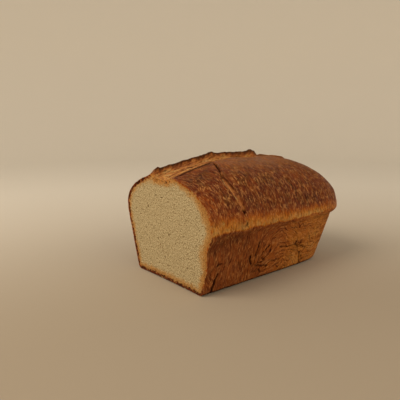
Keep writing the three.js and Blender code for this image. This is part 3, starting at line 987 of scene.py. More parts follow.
# The rim: brown crust at the very edge, then crumb that turned golden. Golden crumb reaches
# deepest on the front and under the torn top, and the base has the thickest crust.
on_front = 1 - ease(-14, 0, crumb_y)
torn_top = ease(92, 97, crumb_z) * (1 - ease(18, 23, np.abs(crumb_y - 8)))
on_base = 1 - ease(5, 12, crumb_z)
front_golden = mix(FRONT_GOLDEN, FRONT_GOLDEN_MIDDLE, between(crumb_z, 15, 40, 75, 95))
golden_reach = mix(mix(GOLDEN_REACH, front_golden, on_front), GOLDEN_REACH, torn_top)
golden_reach = mix(golden_reach, BASE_GOLDEN, on_base)
golden_reach = golden_reach * (1 + 0.2 * noise(74, crumb_y / 6, crumb_z / 6))
crust_reach = mix(mix(THICK_CRUST, THIN_CRUST, on_front), THICK_CRUST, on_base)
crust_reach = mix(crust_reach, TORN_CRUST, torn_top)
crust_reach = crust_reach * (1 + 0.5 * noise(76, crumb_y / 4, crumb_z / 4))
rim_orange = np.maximum(mix(0.35, 0, on_front) + 0.35 * on_base, torn_top)
rim_bake = mix(EDGE_BROWN, FRONT_BROWN, on_front * (1 - on_base)) + 0.1 * on_base
rim_bake = mix(rim_bake, TORN_BROWN, torn_top) + 0.1 * noise(75, crumb_y / 4, crumb_z / 4)
print("crumb points:", len(crumb_yz))

# %% Bubbles and holes of the cut face
# Larger bubbles: across, height, radius, depth.
BUBBLES = [
    (33.6, 72.8, 1.2, 1.3), (16.7, 41.3, 1.4, 1.6), (-1.5, 49.2, 1.2, 1.3),
    (5.1, 23.8, 1.2, 1.3), (33.1, 38.5, 0.9, 1.0), (35.3, 76.3, 0.8, 0.9),
    (-31, 22, 0.9, 0.9), (-12, 78, 0.9, 0.8), (20, 60, 0.8, 0.8), (-25, 52, 0.8, 0.8),
]
BUBBLE_TALLNESS = 1.25
SMALL_BUBBLES = 520
# The rim's holes, like every bubble of the cut face, are painted dark as shade.
RIM_DOTS = 150  # small dark holes scattered in the rim
RIM_DOT_DEPTH = 1.0
# Holes in the browned rim, drawn out along it: across, height, half length, turn in degrees.
RIM_HOLES = [
    (51.0, 96.0, 1.6, -38), (58.5, 91.2, 1.5, -48), (68.8, 75, 1.4, -80), (41, 101.5, 1.3, -25),
    (62.8, 85.5, 1.0, -60), (66.5, 63, 1.0, -85), (49.0, 3.6, 1.2, 0), (24.7, 3.0, 1.5, 0),
    (16.5, 2.6, 1.0, 0), (-15.2, 3.6, 1.2, 0), (-22.1, 3.0, 1.6, 0), (-42, 2.6, 1.2, 0),
]
RIM_HOLE_HALF = 0.8
RIM_HOLE_DEPTH = 1.2

# Small bubbles have the same four values, drawn at random.
draw = np.random.default_rng(7)
small = np.column_stack([
    draw.uniform(-62, 74, SMALL_BUBBLES), draw.uniform(2, 106, SMALL_BUBBLES),
    draw.uniform(0.5, 1.0, SMALL_BUBBLES), draw.uniform(0.25, 0.7, SMALL_BUBBLES),
])
thick_crust = 1 - on_front * (1 - on_base)
in_the_rim = np.flatnonzero(between(rim_distance, 0.8, 1.1, 2.4, 3) * thick_crust > 0.5)
chosen = draw.choice(in_the_rim, RIM_DOTS, replace=False)
dot_size = draw.uniform(0.55, 0.95, RIM_DOTS) * (1 + 0.7 * ease(35, 50, crumb_y[chosen]))
dots = np.column_stack([crumb_yz[chosen], dot_size, np.full(RIM_DOTS, RIM_DOT_DEPTH)])

sunk = 0.12 + 0.08 * noise(72, crumb_y / 0.9, crumb_z / 1.3)
sunk = sunk + 0.1 * np.abs(noise(73, crumb_y / 3, crumb_z / 19))
PORE_SHADE = 0 * sunk
for across, height, radius, depth in BUBBLES + small.tolist() + dots.tolist():
    away = np.hypot(crumb_y - across, (crumb_z - height) / BUBBLE_TALLNESS) / radius
    dip = np.clip(1 - away**2, 0, 1)
    sunk = sunk + depth * dip
    PORE_SHADE = np.maximum(PORE_SHADE, dip * min(1, depth))
for across, height, half, degrees in RIM_HOLES:
    turn = math.radians(degrees)
    on_y, on_z = crumb_y - across, crumb_z - height
    lengthwise = (on_y * math.cos(turn) + on_z * math.sin(turn)) / half
    crosswise = (on_z * math.cos(turn) - on_y * math.sin(turn)) / RIM_HOLE_HALF
    dip = np.clip(1 - lengthwise**2 - crosswise**2, 0, 1)
    sunk, PORE_SHADE = sunk + RIM_HOLE_DEPTH * dip, np.maximum(PORE_SHADE, dip)
sunk = sunk * ease(0, 1.2, rim_distance)
CRUMB = np.column_stack([np.maximum(0, sunk), crumb_yz])
print("deepest bubble:", round(float(sunk.max()), 1), "mm")

# %% The underside
BASE_STEP = 6
base_outline = np.concatenate([POINTS[:, 0, :2], SILL[:, :2]])
base_xy, base_faces = fill_outline(base_outline, BASE_STEP, 6)
BASE = np.column_stack([base_xy, base_height(base_xy[:, 0], base_xy[:, 1])])
print("base points:", len(BASE))

# %% [markdown]
# ## One closed mesh
#
# All points go into one list: the skin, the spine, the bottom edge of the cut, the crumb
# and the base. Edges that meet at a sharp angle, as round the cut, are marked sharp, and
# the rest is shaded smooth.

# %% Numbering the points
skin_count = COLUMNS * (ROWS - 1)
spine_points = POINTS[: LAST_FRONT + 1, -1]
number = np.arange(skin_count).reshape(COLUMNS, ROWS - 1)
spine_number = skin_count + np.arange(LAST_FRONT + 1)
spine_of_column = np.concatenate([
    spine_number, np.full(END_STEPS - 1, spine_number[-1]), spine_number[::-1]])
number = np.column_stack([number, spine_of_column])
sill_number = skin_count + len(spine_points) + np.arange(len(SILL))
crumb_number = sill_number[-1] + 1 + np.arange(len(CRUMB))
base_number = crumb_number[-1] + 1 + np.arange(len(BASE))

cut_numbers = np.concatenate([number[0], number[-1, -2::-1], sill_number, crumb_number])
base_numbers = np.concatenate([number[:, 0], sill_number, base_number])

quads = np.stack([number[:-1, :-1], number[1:, :-1], number[1:, 1:], number[:-1, 1:]], axis=2)
quads = quads.reshape(-1, 4).tolist()
skin_faces = [q[:3] if q[2] == q[3] else q for q in quads]
cut_faces = [cut_numbers[face[::-1]].tolist() for face in crumb_faces]
under_faces = [base_numbers[face[::-1]].tolist() for face in base_faces]
all_faces = skin_faces + cut_faces + under_faces
all_points = np.concatenate([POINTS[:, :-1].reshape(-1, 3), spine_points, SILL, CRUMB, BASE])
triangles = sum(len(face) - 2 for face in all_faces)
print("points:", len(all_points), "triangles:", triangles)

# %% Into the frame
# The cut plane is the frame's lowest x. The two lower corners of the cut fix y.
TOUCHING = 1e-5  # metres
SHARP_ANGLE = math.radians(58)  # a bend sharper than this isn't shaded smooth

cad_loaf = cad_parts["loaf"]
cad_points = np.array([vertex.co for vertex in cad_loaf.data.vertices])
at_cut = cad_points[:, 0] < cad_box[0].x + TOUCHING
cut_corners = cad_points[at_cut & (cad_points[:, 2] < TOUCHING)]
corner_middle = (cut_corners[:, 1].min() + cut_corners[:, 1].max()) / 2
SHIFT = np.array([cad_box[0].x, corner_middle - MM * (BACK_FOOT - FRONT_FOOT) / 2, 0])


def new_object(name, data):
    """An object with this data, linked to the scene."""
    made = bpy.data.objects.new(name, data)
    bpy.context.scene.collection.objects.link(made)
    return made


def smooth_object(name, points, faces):
    mesh = bpy.data.meshes.new(name)
    mesh.from_pydata(points, [], faces)
    mesh.update()
    mesh.polygons.foreach_set("use_smooth", [True] * len(faces))
    return new_object(name, mesh)


loaf = smooth_object("loaf_baked", (all_points * MM + SHIFT).tolist(), all_faces)
mesh = loaf.data
mesh.set_sharp_from_angle(angle=SHARP_ANGLE)
face_edges = np.sort([pair for face in all_faces for pair in zip(face, face[1:] + face[:1])], axis=1)
sides_of_edge = np.unique(face_edges, axis=0, return_counts=True)[1]
print("shift of the loaf's frame in mm:", (SHIFT / MM).round(2))
print("open edges:", int((sides_of_edge != 2).sum()))

# %% [markdown]
# ## Values that the materials read
#
# The finishes follow the shape through numbers kept with each point: how brown, how torn
# and how deep it is, and where it lies round the loaf, up the profile and on the folds.

# %% Values of the points


def store(name, skin, sill, crumb, base):
    """Keeps one number for each point: the skin's own, and one each for the rest."""
    join_spine(skin)
    values = np.concatenate([
        skin[:, :-1].ravel(), skin[: LAST_FRONT + 1, -1],
        np.broadcast_to(sill, len(SILL)), np.broadcast_to(crumb, len(CRUMB)),
        np.broadcast_to(base, len(BASE)),
    ])
    attribute = mesh.attributes.new(name, "FLOAT", "POINT")
    attribute.data.foreach_set("value", values.astype(np.float32))
    print(name, "from", round(float(values.min()), 2), "to", round(float(values.max()), 2))


in_the_band = (T > 0.86) | (FRONTNESS < 0.5)
near_knot = between(U, 40, 56, 110, 135) * (1 - ease(26, 38, Z))
strokes_on_wall = 0.75 + 0.25 * np.maximum(near_knot, ease(80, 110, U))
strokes_on_dome = 1 - 0.5 * ease(0.7, 0.86, T)

store("bake_and_shade", BAKE_AND_SHADE, 0.95, rim_bake, 0.85)
store("torn", TORN, 0, 0, 0)
store("shade_and_burn", SHADE_AND_BURN_MASK, 0, PORE_SHADE, 0)
store("wall", WALL, 1, 0, 1)
store("settled", mix(SETTLED, 1 - 0.45 * ease(80, 105, U), WALL), 1, 1, 1)
store("wrinkled", mix(mix(strokes_on_dome, strokes_on_wall, WALL), 1, TORN), 1, 1, 1)
store("mellow", mix(0.26, 0.1 + 0.6 * ease(84, 130, U), WALL), 0, rim_orange, 0)
store("fold", FOLD, 0, 0, BASE[:, 0])
store("depth", 0 * X, 0, rim_distance, 0)
store("golden_reach", 0 * X, 1, golden_reach, 1)
store("crust_reach", 0 * X, 1, crust_reach, 1)
store("round", U, 0, 0, BASE[:, 0])
store("climb", PROFILE, 0, 0, BASE[:, 1])
store("strand", np.where(in_the_band, from_spine, tear_side), 0, 0, 0)
store("pull", np.where(in_the_band, X, PROFILE), 0, 0, 0)

# %% [markdown]
# ## Effects that the finishes share
#
# Three effects are node groups, built once. **oven colour** turns browning into the colours of crust,
# from pale crumb over golden to nearly black. **streaks** draws thin bent strokes along one way, pale
# and dark: shrunken skin, the wall's grain and pulled strands; on the crust the dark ones are painted
# shade and the pale ones partly a painted highlight. **tiny holes** scatters small cells, as in crumb
# and torn places, which the finishes paint dark as shade.
#
# A finish is a long sum of such effects. To keep it readable, a node's output is wrapped as
# a `Number`, so that sums and products of outputs are written like those of numbers. Each
# sign makes one node.

# %% Small helpers for node trees


def add(tree, kind, **settings):
    node = tree.nodes.new(kind)
    for name, value in settings.items():
        setattr(node, name, value)
    return node


def feed(node, **inputs):
    """Sets or links a node's inputs by name, with _ for a space, or by place as i0, i1."""
    for name, value in inputs.items():
        socket = node.inputs[int(name[1:]) if name[1:].isdigit() else name.replace("_", " ")]
        value = getattr(value, "socket", value)
        if isinstance(value, bpy.types.NodeSocket):
            node.id_data.links.new(value, socket)
        else:
            socket.default_value = value
    return node


class Number:
    """A node's output that is written in sums and products like a number."""

    def __init__(self, socket):
        self.socket = socket
        self.tree = socket.id_data

    def step(self, operation, first, second=0.0):
        node = add(self.tree, "ShaderNodeMath", operation=operation)
        return Number(feed(node, i0=first, i1=second).outputs[0])

    def __abs__(self):
        return self.step("ABSOLUTE", self)

    def or_more(self, other):
        return self.step("MAXIMUM", self, other)

    def clamped(self):
        """Keeps the last step's result between 0 and 1."""
        self.socket.node.use_clamp = True
        return self

    def soft(self, low, high, to_low=0.0, to_high=1.0):
        """Eases from `to_low` where it is `low` to `to_high` where it is `high`."""
        node = add(self.tree, "ShaderNodeMapRange", interpolation_type="SMOOTHSTEP")
        feed(node, Value=self, From_Min=low, From_Max=high, To_Min=to_low, To_Max=to_high)
        return Number(node.outputs["Result"])


# `first + second` calls __add__, or __radd__ where only the second is a Number.
SIGNS = {"add": "ADD", "sub": "SUBTRACT", "mul": "MULTIPLY", "truediv": "DIVIDE"}
for sign, operation in SIGNS.items():
    setattr(Number, f"__{sign}__", lambda a, b, kind=operation: a.step(kind, a, b))
    setattr(Number, f"__r{sign}__", lambda a, b, kind=operation: a.step(kind, b, a))


def numbers(sockets):
    """The named outputs of a node, each as a Number."""
    return {socket.name: Number(socket) for socket in sockets if socket.name}


def mix_number(part, first, second):
    node = add(part.tree, "ShaderNodeMix", data_type="FLOAT")
    return Number(feed(node, i0=part, i2=first, i3=second).outputs[0])


def mix_colour(part, first, second):
    node = add(part.tree, "ShaderNodeMix", data_type="RGBA")
    return Number(feed(node, i0=part, i6=first, i7=second).outputs[2])


def read(tree, *names):
    """The numbers kept with the points under these names."""
    nodes = [add(tree, "ShaderNodeAttribute", attribute_name=name) for name in names]
    return [Number(node.outputs["Fac"]) for node in nodes]


def noise_node(place, detail, roughness=0.5, distortion=0.0, dimensions="3D"):
    node = add(place.id_data, "ShaderNodeTexNoise", noise_dimensions=dimensions)
    feed(node, Vector=place, Scale=1.0, Detail=detail, Roughness=roughness)
    return Number(feed(node, Distortion=distortion).outputs["Fac"])


def spots(place, size_mm, detail, **settings):
    """Noise with spots of about the given size in millimetres."""
    scaled = add(place.id_data, "ShaderNodeVectorMath", operation="SCALE")
    feed(scaled, i0=place, Scale=1 / (size_mm * MM))
    return noise_node(scaled.outputs[0], detail, **settings)


def bump_of(height, strength):
    node = add(height.tree, "ShaderNodeBump")
    return feed(node, Height=height, Strength=strength, Distance=0.5 * MM).outputs["Normal"]


def new_group(name, inputs, outputs):
    """An empty node group: its input numbers by name, and its end to feed.

    inputs gives each label's usual value, or None for a place in space. outputs gives each
    label's kind of socket.
    """
    group = bpy.data.node_groups.new(name, "ShaderNodeTree")
    for label, usual in inputs.items():
        kind = "NodeSocketVector" if usual is None else "NodeSocketFloat"
        socket = group.interface.new_socket(label, in_out="INPUT", socket_type=kind)
        if usual is not None:
            socket.default_value = usual
    for label, kind in outputs.items():
        group.interface.new_socket(label, in_out="OUTPUT", socket_type=kind)
    start, end = add(group, "NodeGroupInput"), add(group, "NodeGroupOutput")
    return group, numbers(start.outputs), end


def use(tree, group, **inputs):
    """Places a node group in a tree and gives its outputs by name."""
    return numbers(feed(add(tree, "ShaderNodeGroup", node_tree=group), **inputs).outputs)


def new_material(name):
    """A new material, its tree, its shader and the place in space, in metres."""
    material = bpy.data.materials.new(name)
    material.use_nodes = True
    tree = material.node_tree
    place = add(tree, "ShaderNodeTexCoord").outputs["Object"]
    return material, tree, tree.nodes["Principled BSDF"], place


def from_screen(red, green, blue):
    """A colour as picked on a screen, from 0 to 255, as the linear values of a shader."""
    linear = []
    for value in (red, green, blue):
        part = value / 255
        linear.append(part / 12.92 if part <= 0.04045 else ((part + 0.055) / 1.055) ** 2.4)
    return (*linear, 1)


print("mid grey of a screen as a shader value:", round(from_screen(128, 128, 128)[0], 3))

# %% Oven colour
OVEN_COLOURS = [
    (0.00, from_screen(208, 182, 132)),
    (0.16, from_screen(214, 168, 94)),
    (0.34, from_screen(198, 124, 38)),
    (0.52, from_screen(174, 90, 13)),
    (0.70, from_screen(140, 64, 15)),
    (0.86, from_screen(101, 39, 7)),
    (1.00, from_screen(44, 20, 10)),
]

oven, given, end = new_group("oven colour", {"Browning": 0.5}, {"Colour": "NodeSocketColor"})
ramp = add(oven, "ShaderNodeValToRGB")
ramp.color_ramp.elements.remove(ramp.color_ramp.elements[1])
ramp.color_ramp.elements[0].color = OVEN_COLOURS[0][1]
for place, colour in OVEN_COLOURS[1:]:
    ramp.color_ramp.elements.new(place).color = colour
feed(ramp, Fac=given["Browning"])
feed(end, Colour=ramp.outputs["Color"])
print("oven colour has", len(ramp.color_ramp.elements), "steps")

# %% Streaks
# Width and Length are in millimetres. Soft is the slow noise that bends the strokes, Thin
# the strokes in loose patches, Pale and Dark two sets of short strokes side by side.
# On the crust the dark strokes are painted shade beside the pale crests.
DARK_SHIFT = 0.36  # the dark strokes lie this part of the spacing beside the pale ones

STREAK_INPUTS = {
    "Across": 0.0, "Along": 0.0, "Width": 1.0, "Length": 6.0, "Thinness": 0.2, "Waviness": 4.0}
streaks, given, end = new_group(
    "streaks", STREAK_INPUTS, dict.fromkeys(("Soft", "Thin", "Pale", "Dark"), "NodeSocketFloat"))


def flat_noise(x, y, detail):
    place = feed(add(x.tree, "ShaderNodeCombineXYZ"), X=x, Y=y).outputs[0]
    return noise_node(place, detail, dimensions="2D")


across = given["Across"] / given["Width"]
along = given["Along"] / given["Length"]
grain = flat_noise(across * 0.45, along, 1.5)
bent = across + grain * given["Waviness"]


def thin_stripes(shift):
    """Triangular stripes along the bent lines, shifted by a part of their spacing."""
    crest = bent.step("PINGPONG", bent + shift, 0.5) - 0.5
    return (1.0 + crest / given["Thinness"]).clamped()


channels = feed(add(streaks, "ShaderNodeSeparateColor"), Color=grain.socket.node.outputs["Color"])
broken = Number(channels.outputs["Green"]).soft(0.4, 0.58)
lengths = flat_noise(across * 0.9, along * 1.6, 1.0)
pale = thin_stripes(0.0)
dark = thin_stripes(DARK_SHIFT) * lengths.soft(0.38, 0.62, 1.0, 0.0)
feed(end, Soft=grain, Thin=pale * broken, Pale=pale * lengths.soft(0.4, 0.58), Dark=dark)
print("streaks:", [socket.name for socket in streaks.interface.items_tree])

# %% Tiny holes
# Spacing is in millimetres, Size a part of it.
holes, given, end = new_group(
    "tiny holes", {"Place": None, "Spacing": 2.0, "Size": 0.3}, {"Hole": "NodeSocketFloat"})
closer = add(holes, "ShaderNodeVectorMath", operation="SCALE")
feed(closer, i0=given["Place"], Scale=1.0 / MM / given["Spacing"])
cells = add(holes, "ShaderNodeTexVoronoi")
feed(cells, Vector=closer.outputs[0], Scale=1.0, Randomness=1.0)
feed(end, Hole=(1.0 - Number(cells.outputs["Distance"]) / given["Size"]).clamped())
print("tiny holes:", [socket.name for socket in holes.interface.items_tree])

# %% [markdown]
# ## The crust
# Crust is hard, thin and slightly glossy where it is smooth, and dull where it tore. The browning sets
# the colour. Thin bent strokes lie on it: pale on the crests of the shrunken skin, partly a pale film
# and partly a painted highlight, and dark in its hollows as painted shade. They run down the slope on
# the dome, along the folds on the wall and along the strands in torn places, which have tiny holes
# too. Patches turn more golden or more purple. Deep places get the darkest colour as painted shade,
# and the burnt edges share it as their own colour; the level top gets a painted sheen.

# %% Crust: blotches, strokes and grain
crust, tree, shader, place = new_material("crust")
bake_and_shade, torn, shade_and_burn, wall, fold, round_loaf, climb = read(
    tree, "bake_and_shade", "torn", "shade_and_burn", "wall", "fold", "round", "climb")
settled, wrinkled, mellow, strand, pull = read(
    tree, "settled", "wrinkled", "mellow", "strand", "pull")
whole = 1.0 - torn
skin = (1.0 - wall) * whole

# Blotches, large and small, and patches where the wrinkles show more.
mottle = spots(place, 9, 4.0, roughness=0.65)
patchy = spots(place, 6, 2.0).soft(0.38, 0.6, 0.22, 1.02)

# The dome: strokes down the slope. Near the pole, where those would meet, worms run any way.
down_slope = use(
    tree, streaks, Across=round_loaf, Along=climb, Width=1.8, Length=9.0, Thinness=0.4)
hollows = down_slope["Soft"].soft(0.25, 0.75, 0.06, -0.06) * skin
any_way = abs(spots(place, 2.5, 2.0, distortion=0.9) - 0.5).soft(0.0, 0.09, 1.0, 0.0)

# The wall: fine grain along the folds, and longer dark folds of painted shade.
wall_grain = use(
    tree, streaks, Across=fold, Along=climb, Width=1.9, Length=10.0, Thinness=0.36, Waviness=3.0)
dark_folds = use(
    tree, streaks, Across=fold, Along=round_loaf, Width=3.6, Length=12.0, Waviness=3.0)
wall_soft = wall_grain["Soft"].soft(0.25, 0.75, -0.06, 0.06) * wall

# Torn places: pulled strands and tiny holes.
pulled = use(
    tree, streaks, Across=strand, Along=pull, Width=3.0, Length=12.0, Thinness=0.4, Waviness=2.0)
strand_shade = pulled["Soft"].soft(0.32, 0.68, 0.15, -0.15) * torn
torn_dots = use(tree, holes, Place=place, Spacing=2.4, Size=0.4)["Hole"] * torn

# Grain all over, about a millimetre across: pale crests, partly a painted highlight, and dark hollows
# of painted shade.
grain = spots(place, 1.5, 2.0, roughness=0.6)
pale_grain, dark_grain = grain.soft(0.5, 0.68), grain.soft(0.34, 0.5, 1.0, 0.0)
print("crust nodes so far:", len(tree.nodes))

# %% Crust: which strokes show where
pale_strokes = mix_number(wall, down_slope["Pale"], wall_grain["Pale"])
dark_strokes = mix_number(wall, down_slope["Dark"], wall_grain["Dark"])
pale_strokes = mix_number(settled, any_way * 0.5 + pale_grain * 0.7, pale_strokes)
dark_strokes = mix_number(settled, dark_grain * 0.6, dark_strokes)
pale_strokes = mix_number(torn, pale_strokes, pulled["Pale"]) * wrinkled
dark_strokes = mix_number(torn, dark_strokes, pulled["Dark"]) * wrinkled
# Pale crests are partly a pale film and partly a painted highlight; dark strokes, dark grain and dark
# folds are painted shade in the hollows.
crest_film_and_highlight = (pale_strokes * patchy * 0.72 + pale_grain * 0.06).clamped()
fold_shade = dark_folds["Thin"] * wall * wrinkled * 0.75
hollow_shade = (dark_strokes * 0.6 + dark_grain * 0.14 + fold_shade - crest_film_and_highlight * 0.5).clamped()
# Painted shade in deep places and tiny holes, shared with the burnt edges' own dark colour.
deep_shade_and_burn = shade_and_burn.or_more(torn_dots * 0.8)
print("crust nodes so far:", len(tree.nodes))

# %% Crust: colour
TORN_TAN = from_screen(182, 136, 96)
GOLDEN_BROWN = from_screen(168, 100, 40)
PURPLE_BROWN = from_screen(92, 42, 26)
SHEEN_AND_DULL_BROWN = from_screen(176, 128, 78)
CREST_FILM_AND_HIGHLIGHT = from_screen(216, 156, 92)
HOLLOW_SHADE = from_screen(58, 11, 0)
SHADE_AND_BURN_COLOUR = from_screen(40, 8, 0)

browned = bake_and_shade + mottle.soft(0.3, 0.7, -0.05, 0.05) + hollows + wall_soft + strand_shade
colour = use(tree, oven, Browning=browned)["Colour"]
top_sheen = (1.0 - wrinkled) * skin * round_loaf.soft(35.0, 70.0)
tints = [
    (torn * 0.42, TORN_TAN),
    (mottle.soft(0.46, 0.6) * whole * mellow, GOLDEN_BROWN),
    (mottle.soft(0.4, 0.52, 0.35, 0.0) * whole, PURPLE_BROWN),
    # A painted sheen: the level top is mixed toward a pale greyish brown that stands for a reflection,
    # and the wall a little toward the same colour.
    (top_sheen * 0.35 + wall * 0.12, SHEEN_AND_DULL_BROWN),  # the level top and the wall are duller
    (crest_film_and_highlight, CREST_FILM_AND_HIGHLIGHT),
    (hollow_shade, HOLLOW_SHADE),
    (deep_shade_and_burn * 0.92, SHADE_AND_BURN_COLOUR),
]
for part_of_tint, tint in tints:
    colour = mix_colour(part_of_tint, colour, tint)
print("crust tints:", len(tints))

# %% Crust: shine and bump
CRUST_GLOSS = 0.11

roughness = mottle.soft(0.3, 0.7, 0.4, 0.54) + wall * 0.25 + bake_and_shade.soft(0.9, 1.0, 0.0, 0.35)
roughness = (roughness + deep_shade_and_burn * 0.5 + torn * 0.3).clamped()
height = crest_film_and_highlight - hollow_shade * 0.6 + pulled["Soft"] * torn - torn_dots * 0.8
feed(shader, Base_Color=colour, Roughness=roughness, Specular_IOR_Level=CRUST_GLOSS,
     Normal=bump_of(height, 0.8))
print("crust nodes:", len(tree.nodes))

# %% [markdown]
# ## The crumb
#
# The cut crumb is pale, matt and spongy. Towards the skin it turns golden and then brown
# within a few millimetres, unevenly, because heat reached it from outside. The distance
# to the outline drives that change, shaken by noise so that it is no clean line.

# %% Crumb: from the rim inwards
crumb, tree, shader, place = new_material("crumb")
depth, pore_shade, at_edge, orange = read(tree, "depth", "shade_and_burn", "bake_and_shade", "mellow")
golden_depth, crust_depth = read(tree, "golden_reach", "crust_reach")
uneven_depth = depth + spots(place, 3, 4.0, roughness=0.7).soft(0.35, 0.65, -1.5, 1.5)
golden_part = uneven_depth / golden_depth
golden_shows = golden_part.soft(0.55, 1.15, 0.85, 0.0)
brown_shows = golden_part.soft(0.1, 0.85, 0.85, 0.0)
crust_shows = (uneven_depth / crust_depth).soft(0.5, 1.4, 1.0, 0.0)
print("crumb nodes so far:", len(tree.nodes))

# %% Crumb: cells and colour
CELL_WIDTH, CELL_HEIGHT = 0.85, 1.25  # the rising dough drew the fine cells out upwards
CRUMB_LIGHT = from_screen(213, 197, 158)
CRUMB_SHADE = from_screen(130, 104, 60)
GOLDEN_CRUMB = from_screen(204, 158, 92)
BROWN_CRUMB = from_screen(184, 124, 56)
ORANGE_CRUMB = from_screen(206, 138, 66)
GOLDEN_SHADE = from_screen(150, 104, 50)
CRUMB_HOLE_SHADE = from_screen(112, 88, 48)
RIM_HOLE_SHADE = from_screen(52, 24, 12)
CRUMB_GLOSS = 0.2

closeness = [1 / (size * MM) for size in (CELL_WIDTH, CELL_WIDTH, CELL_HEIGHT)]
rising = feed(add(tree, "ShaderNodeMapping"), Vector=place, Scale=closeness)
fine = noise_node(rising.outputs[0], 3.0, roughness=0.6)
lit_colour = mix_colour(golden_shows, CRUMB_LIGHT, GOLDEN_CRUMB)
lit_colour = mix_colour(brown_shows, lit_colour, mix_colour(orange, BROWN_CRUMB, ORANGE_CRUMB))
shade_colour = mix_colour(golden_shows, CRUMB_SHADE, GOLDEN_SHADE)
colour = mix_colour(fine.soft(0.38, 0.56), shade_colour, lit_colour)
colour = mix_colour(crust_shows, colour, use(tree, oven, Browning=at_edge)["Colour"])

# Bubbles and tiny holes get painted shade, browner near the rim.
small_holes = use(tree, holes, Place=place, Spacing=3.6, Size=0.3)["Hole"]
hole_shade = (small_holes * 0.5).or_more(pore_shade)
hole_shade_colour = mix_colour(depth.soft(2.5, 6.0), RIM_HOLE_SHADE, CRUMB_HOLE_SHADE)
colour = mix_colour(hole_shade * 0.8, colour, hole_shade_colour)
roughness = fine.soft(0.3, 0.7, 0.82, 0.95)
feed(shader, Base_Color=colour, Roughness=roughness, Specular_IOR_Level=CRUMB_GLOSS,
     Normal=bump_of(fine - small_holes, 0.7))
print("crumb nodes:", len(tree.nodes))

# %% [markdown]
# ## The loaf takes its place
#
# The skin and the base get the crust, the cut face gets the crumb. The loaf replaces the
# plain solid of the frame and rides on the frame's one body.

# %% Materials on the faces, and the frame
mesh.materials.append(crust)
mesh.materials.append(crumb)
slots = [0] * len(skin_faces) + [1] * len(cut_faces) + [0] * len(under_faces)
mesh.polygons.foreach_set("material_index", slots)
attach(loaf, "root")
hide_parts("loaf")
print("faces with crumb:", len(cut_faces))

# %% [markdown]
# ## Studio
#
# A pale round floor turns up into a wall on all sides, so that no view shows an edge. The floor before
# the loaf stays plain, and the rest glows faintly as painted light, though it is no lamp, which
# brightens the far floor and wall and the floor beside the loaf.
# One large soft light stands high on the side of the cut face, and a weaker one fills in
# from the front. The camera looks down a little, at the corner between the cut and the
# front.

# %% Floor and backdrop
COVE_RADIUS = 1.7
COVE_BEND = 0.5
COVE_HEIGHT = 1.3
COVE_SIDES = 96
BEND_STEPS = 12
FLOOR_RINGS = (0.4, 0.8)
PLAIN_FLOOR = (-0.3, -0.5, 0)  # the floor nearest the camera stays plainest
FLOOR_NEAR = from_screen(176, 163, 145)
FLOOR_FAR = from_screen(222, 216, 206)
NO_GLOW = (0, 0, 0, 1)
# Painted light: the glow brightens the far floor and the wall, and the floor beside the loaf that the
# key light leaves in shade.
GLOW = from_screen(120, 112, 98)
GLOW_STRENGTH = 0.45


def make_cove():
    """A disc of rings round the middle point, which bends up into a wall."""
    bend = np.linspace(0, math.pi / 2, BEND_STEPS + 1)[1:]
    flat = [*FLOOR_RINGS, COVE_RADIUS - COVE_BEND]
    radii = [*flat, *(COVE_RADIUS - COVE_BEND * (1 - np.sin(bend))), COVE_RADIUS]
    heights = [*(0 * r for r in flat), *(COVE_BEND * (1 - np.cos(bend))), COVE_HEIGHT]
    turns = 2 * math.pi * np.arange(COVE_SIDES) / COVE_SIDES
    points, faces = [(0, 0, 0)], []
    for radius, height in zip(radii, heights):
        points += [(radius * math.cos(turn), radius * math.sin(turn), height) for turn in turns]
    for side in range(COVE_SIDES):
        after = (side + 1) % COVE_SIDES
        faces.append((0, 1 + side, 1 + after))
        for low in range(1, len(points) - COVE_SIDES, COVE_SIDES):
            high = low + COVE_SIDES
            faces.append((low + side, high + side, high + after, low + after))
    return smooth_object("floor_and_wall", points, faces)


cove = make_cove()
paint, tree, shader, place = new_material("pale_floor")
away = add(tree, "ShaderNodeVectorMath", operation="DISTANCE")
away = Number(feed(away, i0=place, i1=PLAIN_FLOOR).outputs["Value"])
floor_colour = mix_colour(away.soft(0.45, 1.2), FLOOR_NEAR, FLOOR_FAR)
glow_colour = mix_colour(away.soft(0.42, 0.85), NO_GLOW, GLOW)
feed(shader, Base_Color=floor_colour, Roughness=0.9)
feed(shader, Emission_Color=glow_colour, Emission_Strength=GLOW_STRENGTH)
cove.data.materials.append(paint)
cove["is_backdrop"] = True
print("cove points:", len(cove.data.vertices))

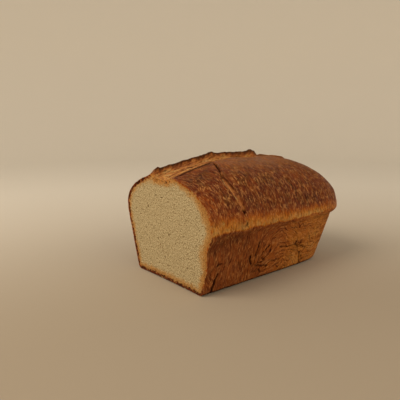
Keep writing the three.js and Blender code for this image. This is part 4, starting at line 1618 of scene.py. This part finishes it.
# %% Lights
KEY_PLACE = (-0.95, 0.2, 1.1)
KEY_SIZE = 0.9
KEY_POWER = 10
FILL_PLACE = (0.1, -1.2, 0.7)
FILL_SIZE = 1.2
FILL_POWER = 3.6
LIGHT_COLOUR = (1.0, 0.86, 0.68)
LOOK_AT = (0, 0, 0.05)
ROOM_COLOUR = (1.0, 0.88, 0.72, 1)
ROOM_STRENGTH = 0.37


def add_light(name, place, size, power):
    """A round soft light that faces the loaf."""
    data = bpy.data.lights.new(name, "AREA")
    data.shape = "DISK"
    data.size = size
    data.energy = power
    data.color = LIGHT_COLOUR
    light = new_object(name, data)
    light.location = place
    away = [p - t for p, t in zip(place, LOOK_AT)]
    turn_z = math.atan2(away[1], away[0]) + math.pi / 2
    tilt = math.atan2(math.hypot(away[0], away[1]), away[2])
    light.rotation_euler = (tilt, 0, turn_z)


add_light("key", KEY_PLACE, KEY_SIZE, KEY_POWER)
add_light("fill", FILL_PLACE, FILL_SIZE, FILL_POWER)

world = bpy.data.worlds.new("room")
bpy.context.scene.world = world
world.use_nodes = True
feed(world.node_tree.nodes["Background"], Color=ROOM_COLOUR, Strength=ROOM_STRENGTH)
bpy.context.scene.view_settings.view_transform = "Standard"

# %% Camera
CAMERA_PLACE = np.array([-246.6, -336.4, 165.8])  # in the loaf's own frame, millimetres
CAMERA_PITCH = math.radians(11.05)
CAMERA_TURN = math.radians(-40.7)
CAMERA_LENS = 38.7
CAMERA_SENSOR = 36
CAMERA_NEAR = 0.01  # metres

camera_data = bpy.data.cameras.new("camera")
camera_data.sensor_width = CAMERA_SENSOR
camera_data.lens = CAMERA_LENS
camera_data.clip_start = CAMERA_NEAR
camera = new_object("camera", camera_data)
camera.location = CAMERA_PLACE * MM + SHIFT
camera.rotation_euler = (math.pi / 2 - CAMERA_PITCH, 0, CAMERA_TURN)
bpy.context.scene.camera = camera
print("camera at", [round(v, 3) for v in camera.location])

# %% [markdown]
#
# Both boxes, the frame's and the finished loaf's, are printed so that they can be compared.
# The finished loaf has to stay in the frame's box, apart from a little that may stand
# proud.

# %% Sizes and finish
bpy.context.view_layer.update()
boxes = {"cad": [list(c) for c in cad_box], "visual": [list(c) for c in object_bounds()]}
for name, corners in boxes.items():
    print(name, "box in mm:", [[round(1000 * v, 1) for v in corner] for corner in corners])
